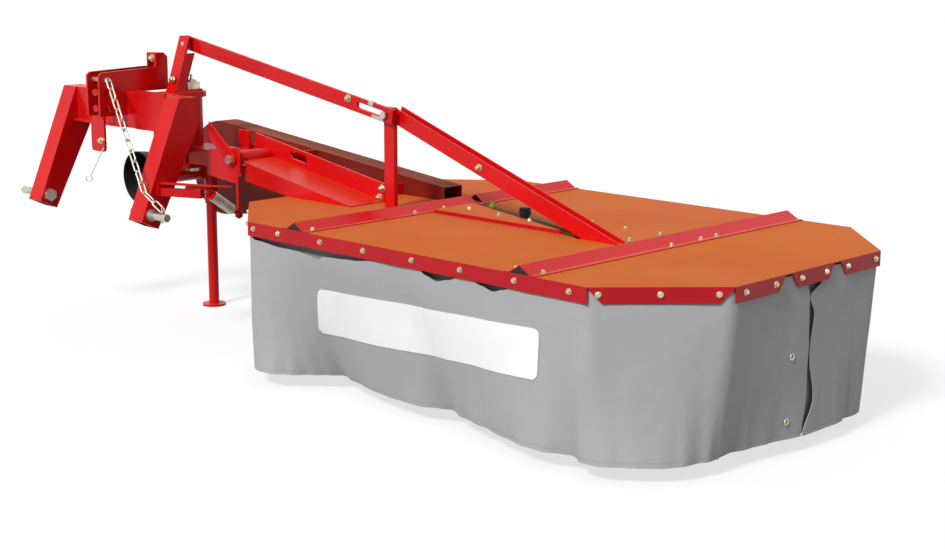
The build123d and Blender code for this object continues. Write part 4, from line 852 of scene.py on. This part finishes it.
@dataclass
class Skirt:
    """The skirt: its sheets, the flap and the strip behind them, the blank panel and the eyelets.

    Hem and gap tables are those of Cloth, but the front ones begin with metres along the cover. A
    split, a slit or an edge is given by how far it is behind the cover's front.
    """

    length: float
    width: float
    inner_chamfer: Pair = (0.311, 0.250)
    outer_chamfer: Pair = (0.275, 0.282)
    inner_split: float = 0.64
    slit_y: float = 0.612
    front_edge_y: float = 0.668
    rear_edge_y: float = 0.632
    front_hem: Table = (
        (0.300, 0.004), (0.379, 0.013), (0.438, 0.054), (0.486, 0.102), (0.529, 0.137), (0.574, 0.166),
        (0.648, 0.142), (0.779, 0.114), (0.890, 0.100), (0.995, 0.090), (1.057, 0.117), (1.090, 0.134),
        (1.165, 0.101), (1.276, 0.076), (1.383, 0.052), (1.486, 0.028), (1.552, 0.026), (1.604, 0.050),
        (1.630, 0.060), (1.706, 0.022), (1.804, -0.006), (1.863, -0.014), (1.924, -0.011),
        (1.986, 0.001), (2.052, 0.034), (2.119, 0.058), (2.177, 0.070), (2.225, 0.074), (2.279, 0.054),
        (2.366, 0.040), (2.482, 0.019),
    )
    front_gaps: Table = (
        (0.300, 0.0), (0.330, 0.046), (0.358, 0.047), (0.464, 0.055), (0.548, 0.055), (0.599, 0.060),
        (0.649, 0.069), (0.668, 0.056), (0.724, 0.053), (0.796, 0.049), (0.910, 0.037), (1.000, 0.0),
        (1.078, 0.028), (1.118, 0.048), (1.162, 0.059), (1.205, 0.049), (1.264, 0.030), (1.298, 0.032),
        (1.339, 0.045), (1.384, 0.055), (1.420, 0.045), (1.468, 0.028), (1.520, 0.0),
    )
    rear_hem: Table = (
        (0.0, 0.019), (0.087, 0.015), (0.192, 0.014), (0.235, 0.020), (0.262, 0.033), (0.30, 0.030),
        (0.40, 0.026), (0.60, -0.004), (0.80, 0.020), (1.20, 0.075), (1.28, 0.050), (1.80, 0.070),
        (2.20, 0.030), (2.60, 0.010), (2.90, 0.0),
    )
    rear_gaps: Table = ((1.35, 0.0), (1.45, 0.05), (1.55, 0.0), (1.80, 0.0), (1.88, 0.045), (1.98, 0.0))
    front_edge: Table = ((0.15, -0.028), (0.48, -0.014), (0.8, -0.002), (1.0, -0.012))
    rear_edge: Table = (
        (0.07, 0.068), (0.15, 0.012), (0.27, 0.042), (0.48, 0.030), (0.79, 0.064), (1.0, 0.026),
    )
    flap_ends: Pair = (-0.05, 0.08)
    strip_start: float = 0.33
    eyelets: Table = ((0.584, 0.297), (0.592, 0.104))
    eyelet_radius: float = 0.0085
    eyelet_wall: float = 0.28
    eyelet_lift: float = 0.0022

    def corners(self) -> Table:
        """Corners of the flange in plan, from the hitch end round the front to the back."""
        inner_x, inner_y = self.inner_chamfer
        outer_x, outer_y = self.outer_chamfer
        return (
            (0.0, inner_y), (inner_x, 0.0), (self.length - outer_x, 0.0), (self.length, outer_y),
            (self.length, self.width - outer_y), (self.length - outer_x, self.width),
            (inner_x, self.width), (0.0, self.width - inner_y),
        )

    def front_sheet(self) -> Cloth:
        """Sheet from the hitch end round the front to the outer slit."""
        inner_x, inner_y = self.inner_chamfer
        corners = ((0.0, self.inner_split), *self.corners()[:4], (self.length, self.front_edge_y))
        before = self.inner_split - inner_y + math.hypot(inner_x, inner_y) - inner_x
        hem = ((0.0, 0.0), *((before + x, inward) for x, inward in self.front_hem))
        gaps = tuple((before + x, dip) for x, dip in self.front_gaps)
        edge = ((0.0, self.slit_y - self.front_edge_y), *self.front_edge)
        return Cloth("skirt_cloth_front", "skirt_front", corners, hem, gaps, last_edge=edge)

    def rear_sheet(self) -> Cloth:
        """Sheet from the outer slit round the back to the hitch end."""
        corners = ((self.length, self.rear_edge_y), *self.corners()[4:], (0.0, self.inner_split))
        return Cloth(
            "skirt_cloth_rear", "skirt_rear", corners, self.rear_hem, self.rear_gaps,
            first_edge=self.rear_edge, seed=40.0,
        )

    def slit_flap(self) -> Cloth:
        """Flap that shows dark behind the outer slit."""
        middle = (self.front_edge_y + self.rear_edge_y) / 2
        corners = tuple((self.length, middle + end) for end in self.flap_ends)
        return Cloth(
            "skirt_slit_flap", None, corners, hem_offsets=((0.0, 0.014),),
            hem=0.052, inset=0.026, corner_round_hem=0.0,
        )

    def top_strip(self) -> Cloth:
        """Narrow strip of cloth behind the upper edge of the front sheet."""
        corners = ((self.strip_start, 0.0), (self.length - self.outer_chamfer[0], 0.0))
        return Cloth(
            "skirt_top_strip", None, corners, hem_offsets=((0.0, 0.004),),
            hem=0.44, inset=0.034, rows=10, corner_round_hem=0.0, seed=70.0,
        )

    def build(self, shop: Workshop) -> None:
        """Makes the skirt and what it carries."""
        front = self.front_sheet()
        for sheet in (front, self.rear_sheet(), self.slit_flap(), self.top_strip()):
            sheet.build(shop)
        BlankPanel().build(shop, front)
        self.build_eyelets(shop, front)

    def build_eyelets(self, shop: Workshop, cloth: Cloth) -> None:
        """Adds the pressed rings near the slit."""
        mesh = bmesh.new()
        for y, z in self.eyelets:
            along = cloth.length - (self.front_edge_y - y)
            down = (cloth.top - z) / (cloth.top - cloth.hem)
            spot = shop.at(*cloth.surface(along, down, self.eyelet_lift))
            seat = facing_matrix(spot, Facing.RIGHT.vector())
            off_centre = Matrix.Translation((self.eyelet_radius, 0, 0))
            ring = bmesh.ops.create_circle(
                mesh, segments=14, radius=self.eyelet_radius * self.eyelet_wall,
                matrix=seat @ off_centre @ Matrix.Rotation(math.pi / 2, 4, "X"),
            )["verts"]
            bmesh.ops.spin(
                mesh, geom=[*linked_edges(ring), *ring], cent=seat.translation,
                axis=seat.to_3x3() @ Facing.UP.vector(), angle=math.tau, steps=24, use_merge=True,
            )
        bmesh.ops.recalc_face_normals(mesh, faces=mesh.faces)
        shop.piece("skirt_eyelets", mesh, Finishes.ZINC, "cutter", "zinc", sharp_deg=60.0)


@dataclass
class CoverFittings:
    """Bolts of the flange, the ridges and the sheets, and the fittings on top of the cover.

    Places are metres along the cover and behind its front, and those of corner bolts are shares of
    the cut corner's length. Lifts are heights above the cover's sheets.
    """

    length: float
    top: float
    flange_height: float = 0.522
    front_bolts: tuple[float, ...] = (0.341, 0.463, 0.665, 0.860, 1.068, 1.264, 1.470, 1.667)
    corner_bolts: tuple[float, ...] = (0.080, 0.494, 0.885)
    inner_corner_bolts: tuple[float, ...] = (0.2, 0.8)
    end_bolts: tuple[float, ...] = (0.323, 0.461, 0.586, 0.708, 0.819, 0.967)
    ridge_bolts: Table = (
        (0.588, 0.036), (0.586, 0.475), (0.585, 0.608), (0.498, 0.860), (0.588, 1.05),
        (1.444, 0.036), (1.533, 0.046), (1.533, 0.610), (1.533, 0.752), (1.533, 0.830), (1.444, 1.05),
    )
    sheet_bolts: Table = ((1.102, 0.759), (1.252, 0.742), (1.381, 0.604), (1.388, 0.742))
    plate_bolts: Table = ((0.691, 0.620), (0.851, 0.592), (0.984, 0.593))
    ridge_lift: float = 0.003
    plate_lift: float = 0.012
    # Ends, width, seat and rounding of the dark strip that paints the groove's shade.
    shade_strip_ends: tuple[Pair, Pair] = ((0.650, 0.729), (1.235, 0.534))
    shade_strip_width: float = 0.026
    shade_strip_seat: float = 0.004
    shade_strip_round: float = 0.003
    plug_place: Pair = (0.715, 0.707)
    plug_steps: tuple[Step, ...] = (
        Step(0.0125, 0.0, 0.006, sides=HEX_SIDES),
        Step(0.0085, 0.0, 0.015, sides=20, soften=0.002),
    )
    cap_place: Pair = (0.925, 0.637)
    cap_steps: tuple[Step, ...] = (
        Step(0.0155, 0.0, 0.012),
        Step(0.0205, 0.010, 0.022, sides=12, soften=0.003, top_radius=0.0185),
    )
    ridge_wall: float = 0.004
    ridge_half: float = 0.040
    # Gap and depth of the black sheets that paint the shade in the ridges' ends.
    end_gap: float = 0.001
    shade_sheet_depth: float = 0.004

    def build(self, shop: Workshop, skirt: Skirt) -> None:
        """Makes the bolts and the fittings."""
        self.build_flange_bolts(shop, skirt)
        self.build_cover_bolts(shop)
        self.build_groove_shade(shop)
        plate = self.top + self.plate_lift
        plug, cap = shop.at(*self.plug_place, plate), shop.at(*self.cap_place, plate)
        mesh = turned_mesh(plug, self.plug_steps)
        shop.piece("groove_plug", mesh, Finishes.GREEN_PLUG, "cutter", "black_plastic")
        mesh = turned_mesh(cap, self.cap_steps)
        shop.piece("oil_cap", mesh, Finishes.PLASTIC, "cutter", "black_plastic")
        # Black sheets in the ridges' open ends are painted shade.
        self.build_ridge_end_shade(shop)

    def build_flange_bolts(self, shop: Workshop, skirt: Skirt) -> None:
        """Makes the bolts all round the flange, apart from the hitch end."""
        inner_x, inner_y = skirt.inner_chamfer
        outer_x, outer_y = skirt.outer_chamfer
        inner_start, inner_end, outer_start, outer_end = (Vector(c) for c in skirt.corners()[:4])
        outer = [outer_start.lerp(outer_end, share) for share in self.corner_bolts]
        inner = [inner_start.lerp(inner_end, share) for share in self.inner_corner_bolts]
        # Places in plan, the way they face, and the turn from one bolt to the next.
        rows = (
            ([(x, 0.0) for x in self.front_bolts], Facing.FRONT.vector(), 0.7),
            (outer, Vector((outer_y, -outer_x, 0.0)).normalized(), 1.1),
            ([(self.length, y) for y in self.end_bolts], Facing.RIGHT.vector(), 0.9),
            ([(x, skirt.width) for x in self.front_bolts], Facing.REAR.vector(), 0.8),
            (inner, Vector((-inner_y, -inner_x, 0.0)).normalized(), 0.0),
        )
        mesh = bmesh.new()
        for plan, way, turn in rows:
            places = (shop.at(*spot, self.flange_height) for spot in plan)
            FLANGE_BOLT.add_row(mesh, places, way, turn)
        shop.piece("flange_bolts", mesh, Finishes.YELLOW_ZINC, "cutter", "zinc")

    def build_cover_bolts(self, shop: Workshop) -> None:
        """Makes the bolts on the ridges, the sheets and the centre plate."""
        # Places, their height above the sheets, and the turn from one bolt to the next.
        rows = (
            (self.ridge_bolts, self.ridge_lift, 0.6),
            (self.sheet_bolts, 0.0, 0.4),
            (self.plate_bolts, self.plate_lift, 0.5),
        )
        mesh = bmesh.new()
        for plan, lift, turn in rows:
            places = (shop.at(*spot, self.top + lift) for spot in plan)
            PLATE_BOLT.add_row(mesh, places, Facing.UP.vector(), turn)
        shop.piece("cover_bolts", mesh, Finishes.YELLOW_ZINC, "cutter", "zinc")

    def build_groove_shade(self, shop: Workshop) -> None:
        """Makes a dark strip that fills the groove up to the centre plate's level, as painted shade of
        the recessed groove.
        """
        start, end = (Vector(point) for point in self.shade_strip_ends)
        run = end - start
        depth = self.plate_lift + self.shade_strip_seat
        middle = shop.at(*start.lerp(end, 0.5), self.top + self.plate_lift - depth / 2)
        turn = Matrix.Rotation(math.atan2(run.y, run.x), 4, "Z")
        mesh = bmesh.new()
        size = (run.length, self.shade_strip_width, depth)
        add_box(mesh, Matrix.Translation(middle) @ turn, size, self.shade_strip_round)
        shop.piece("groove_painted_shade", mesh, Finishes.GROOVE_SHADE, "cutter", "black_plastic")

    def build_ridge_end_shade(self, shop: Workshop) -> None:
        """Makes black sheets inside the ridges' open ends, as painted shade of their hollow insides."""
        mesh = bmesh.new()
        half = self.ridge_half - self.ridge_wall
        for node in ("ridge_inner", "ridge_outer"):
            low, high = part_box(node)
            middle, foot = (low.x + high.x) / 2, low.z + self.end_gap
            for edge, inward in ((low.y, 1), (high.y, -1)):
                face = edge + self.end_gap * inward
                outline = (
                    (middle - half, face, foot),
                    (middle + half, face, foot),
                    (middle, face, high.z - self.ridge_wall),
                )
                plate = mesh.faces.new([mesh.verts.new(corner) for corner in outline])
                grown = bmesh.ops.extrude_face_region(mesh, geom=[plate])["geom"]
                moved = [item for item in grown if isinstance(item, bmesh.types.BMVert)]
                bmesh.ops.translate(mesh, verts=moved, vec=(0, self.shade_sheet_depth * inward, 0))
        bmesh.ops.recalc_face_normals(mesh, faces=mesh.faces)
        shop.piece("ridge_end_painted_shade", mesh, Finishes.PLASTIC, "cutter", "black_plastic")


@dataclass(frozen=True)
class Fixing:
    """Where one bolt or nut of the frame sits, and what it moves with."""

    body: str
    place: Point
    way: Point = Facing.FRONT.value


@dataclass
class FrameFittings:
    """Bolts of the hitch and linkage, the stay bar's lock clamp and the kingpin's nipple.

    Places are metres along, behind and above the cover's front corner on the floor, and the ends of
    the stay bar's middle line are metres along and above. A leaf is the clamp's sheet metal.
    """

    fixings: tuple[Fixing, ...] = (
        Fixing("hitch", (-0.759, 0.403, 0.983)),
        Fixing("hitch", (-0.760, 0.166, 0.693)),
        Fixing("carrier", (-0.637, 0.4055, 0.910), (0.0, -0.963, 0.270)),
        Fixing("cutter", (0.836, 0.517, 0.715)),
        Fixing("cutter", (0.322, 0.572, 0.588)),
        Fixing("cutter", (0.308, 0.572, 0.556)),
        Fixing("stay", (0.254, 0.484, 0.897)),
    )
    turn: float = 0.7
    stay_start: Pair = (-0.640, 1.040)
    stay_end: Pair = (0.435, 0.855)
    stay_y: float = 0.490
    stay_thickness: float = 0.012
    stay_width: float = 0.050
    slot_band: float = 0.0125
    clamp_x: float = 0.362
    clamp_width: float = 0.024
    flap_x: float = 0.402
    flap_length: float = 0.058
    leaf: float = 0.0022
    leaf_round: float = 0.3
    kingpin: Point = (-0.640, 0.490, 0.903)
    nipple_steps: tuple[Step, ...] = (
        Step(0.0150, 0.0, 0.003, 24, 0.0008),
        Step(0.0065, 0.003, 0.006, HEX_SIDES, 0.0008),
        Step(0.0038, 0.009, 0.010, 16, 0.0008),
        Step(0.0048, 0.016, 0.006, 16, 0.0008),
    )

    def build(self, shop: Workshop) -> None:
        """Makes the fittings, with the bolts of each body as one piece."""
        for body in ("hitch", "carrier", "cutter", "stay"):
            mesh = bmesh.new()
            for index, fixing in enumerate(self.fixings):
                if fixing.body == body:
                    place, way = shop.at(*fixing.place), Vector(fixing.way)
                    FRAME_BOLT.add(mesh, place, way, self.turn * index)
            shop.piece(f"{body}_frame_bolts", mesh, Finishes.YELLOW_ZINC, body, "zinc")
        self.build_clamp(shop)
        self.build_nipple(shop)

    def build_clamp(self, shop: Workshop) -> None:
        """Makes the saddle over the stay bar's upper edge and the flap on its lower band."""
        start, end = Vector(self.stay_start), Vector(self.stay_end)
        slope = math.atan2(end.y - start.y, end.x - start.x)
        turn = Matrix.Rotation(-slope, 4, "Y")
        half = self.stay_width / 2
        across = self.stay_thickness + 2 * self.leaf
        band = half - self.slot_band / 2
        # Middle along the cover, length, side of the bar, middle above the bar's, depth, height.
        leaves = (
            (self.clamp_x, self.clamp_width, 0, half + self.leaf / 2, across, self.leaf),
            (self.clamp_x, self.clamp_width, -1, band, self.leaf, self.slot_band),
            (self.clamp_x, self.clamp_width, 1, band, self.leaf, self.slot_band),
            (self.flap_x, self.flap_length, -1, -band, self.leaf, self.slot_band),
        )
        mesh = bmesh.new()
        for x, length, side, above, depth, height in leaves:
            centre = start.lerp(end, (x - start.x) / (end.x - start.x))
            y = self.stay_y + side * (self.stay_thickness + self.leaf) / 2
            place = Matrix.Translation(shop.at(centre.x, y, centre.y)) @ turn
            place = place @ Matrix.Translation((0, 0, above))
            add_box(mesh, place, (length, depth, height), self.leaf * self.leaf_round)
        shop.piece("stay_lock_clamp", mesh, Finishes.ZINC, "stay", "zinc")

    def build_nipple(self, shop: Workshop) -> None:
        """Makes the washer and the grease nipple on the kingpin."""
        mesh = turned_mesh(shop.at(*self.kingpin), self.nipple_steps)
        shop.piece("kingpin_nipple", mesh, Finishes.ZINC, "carrier", "zinc")


class CadDress:
    """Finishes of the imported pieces, by the record's slot or by node where one differs."""

    BY_SLOT = {
        "red_paint": Finishes.RED,
        "cover_paint": Finishes.COVER,
        "zinc": Finishes.ZINC,
        "steel": Finishes.STEEL,
        "skirt_fabric": Finishes.CLOTH,
        "black_plastic": Finishes.PLASTIC,
    }
    BY_NODE = {"belt_guard_front": Finishes.SHADED_GUARD, "belt_guard_rear": Finishes.SHADED_GUARD}

    def dress(self, finishes: Finishes) -> None:
        """Gives every CAD node its finish."""
        slots = {row["node"]: row["material_slot"] for row in frame["record"]["subparts"]}
        for name, node in frame["nodes"].items():
            material = finishes.get(self.BY_NODE.get(name, self.BY_SLOT[slots[name]]))
            node.data.materials.clear()
            node.data.materials.append(material)
            LOG.info("node %s wears %s", name, material.name)


@dataclass
class Studio:
    """Pale floor, soft light and the camera at the photograph's place."""

    camera_place: Point = (4.0676, -3.8422, 1.4390)
    azimuth_deg: float = 44.310
    elevation_deg: float = 11.649
    roll_deg: float = 0.139
    lens_mm: float = 62.827
    sensor_mm: float = 36.0
    floor_size: float = 40.0
    world_light: float = 0.38
    sun_power: float = 3.15
    sun_direction: Point = (0.10, -0.74, 0.65)
    sun_angle_deg: float = 14.0
    floor_colour: Colour = (0.28, 0.28, 0.28)
    floor_roughness: float = 0.9
    floor_glow: float = 0.72

    def build(self) -> None:
        """Makes the camera, the lights and the floor."""
        bpy.context.scene.view_settings.view_transform = "Standard"
        self.build_camera()
        self.build_world()
        self.build_sun()
        self.build_floor()

    @staticmethod
    def seen(graph: Graph) -> Socket:
        """Mask of what the camera sees, straight or in metal and glass."""
        path = graph.node("ShaderNodeLightPath")
        glossy = graph.math("MAXIMUM", path.outputs["Is Camera Ray"], path.outputs["Is Glossy Ray"])
        return graph.math("MAXIMUM", glossy, path.outputs["Is Transmission Ray"])

    def build_camera(self) -> None:
        """Makes the camera."""
        data = bpy.data.cameras.new("camera")
        data.sensor_width = self.sensor_mm
        data.lens = self.lens_mm
        camera = add_object("camera", data)
        around, above = math.radians(self.azimuth_deg), math.radians(self.elevation_deg)
        level = math.cos(above)
        back = Vector((math.sin(around) * level, -math.cos(around) * level, math.sin(above)))
        turn = (-back).to_track_quat("-Z", "Y").to_matrix()
        roll = Matrix.Rotation(math.radians(self.roll_deg), 3, "Z")
        camera.matrix_world = Matrix.Translation(self.camera_place) @ (turn @ roll).to_4x4()
        bpy.context.scene.camera = camera

    def build_world(self) -> None:
        """Makes an even light that the camera and reflections see as white."""
        world = bpy.data.worlds.new("studio")
        bpy.context.scene.world = world
        world.use_nodes = True
        graph = Graph(world.node_tree)
        strength = graph.math("MAXIMUM", self.seen(graph), self.world_light)
        graph.feed(world.node_tree.nodes["Background"], {"Color": WHITE, "Strength": strength})

    def build_sun(self) -> None:
        """Makes the soft key light in front of and above the mower."""
        data = bpy.data.lights.new("key", "SUN")
        data.energy = self.sun_power
        data.angle = math.radians(self.sun_angle_deg)
        lamp = add_object("key", data)
        lamp.rotation_mode = "QUATERNION"
        lamp.rotation_quaternion = Vector(self.sun_direction).to_track_quat("Z", "Y")

    def floor_surface(self, graph: Graph) -> dict[str, object]:
        """Matt grey that takes shadows, with a glow that makes it pale where it is seen."""
        return {
            "Base Color": (*self.floor_colour, 1.0),
            "Roughness": self.floor_roughness,
            "Specular IOR Level": 0.0,
            "Emission Color": WHITE,
            "Emission Strength": graph.math("MULTIPLY", self.seen(graph), self.floor_glow),
        }

    def build_floor(self) -> None:
        """Makes the pale floor."""
        mesh = bmesh.new()
        bmesh.ops.create_grid(mesh, x_segments=1, y_segments=1, size=self.floor_size / 2)
        material = new_material("pale_floor", self.floor_surface)
        floor = add_object("floor", mesh_data("floor", mesh, material))


def main() -> None:
    """Builds the scene in order: studio, finishes, then each sub-assembly."""
    logging.basicConfig(level=logging.INFO, format="%(message)s")
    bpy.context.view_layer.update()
    Studio().build()
    finishes = Finishes()
    front_low, front_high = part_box("cover_front")
    _, rear_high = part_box("cover_rear")
    length = front_high.x - front_low.x
    width = rear_high.y - front_low.y
    shop = Workshop(finishes, Vector((front_low.x, front_low.y, 0.0)))
    skirt = Skirt(length, width)
    CadDress().dress(finishes)
    skirt.build(shop)
    CoverFittings(length, front_high.z).build(shop, skirt)
    FrameFittings().build(shop)
    LOG.info("%d new pieces", len(shop.pieces))


if __name__ == "__main__":
    main()
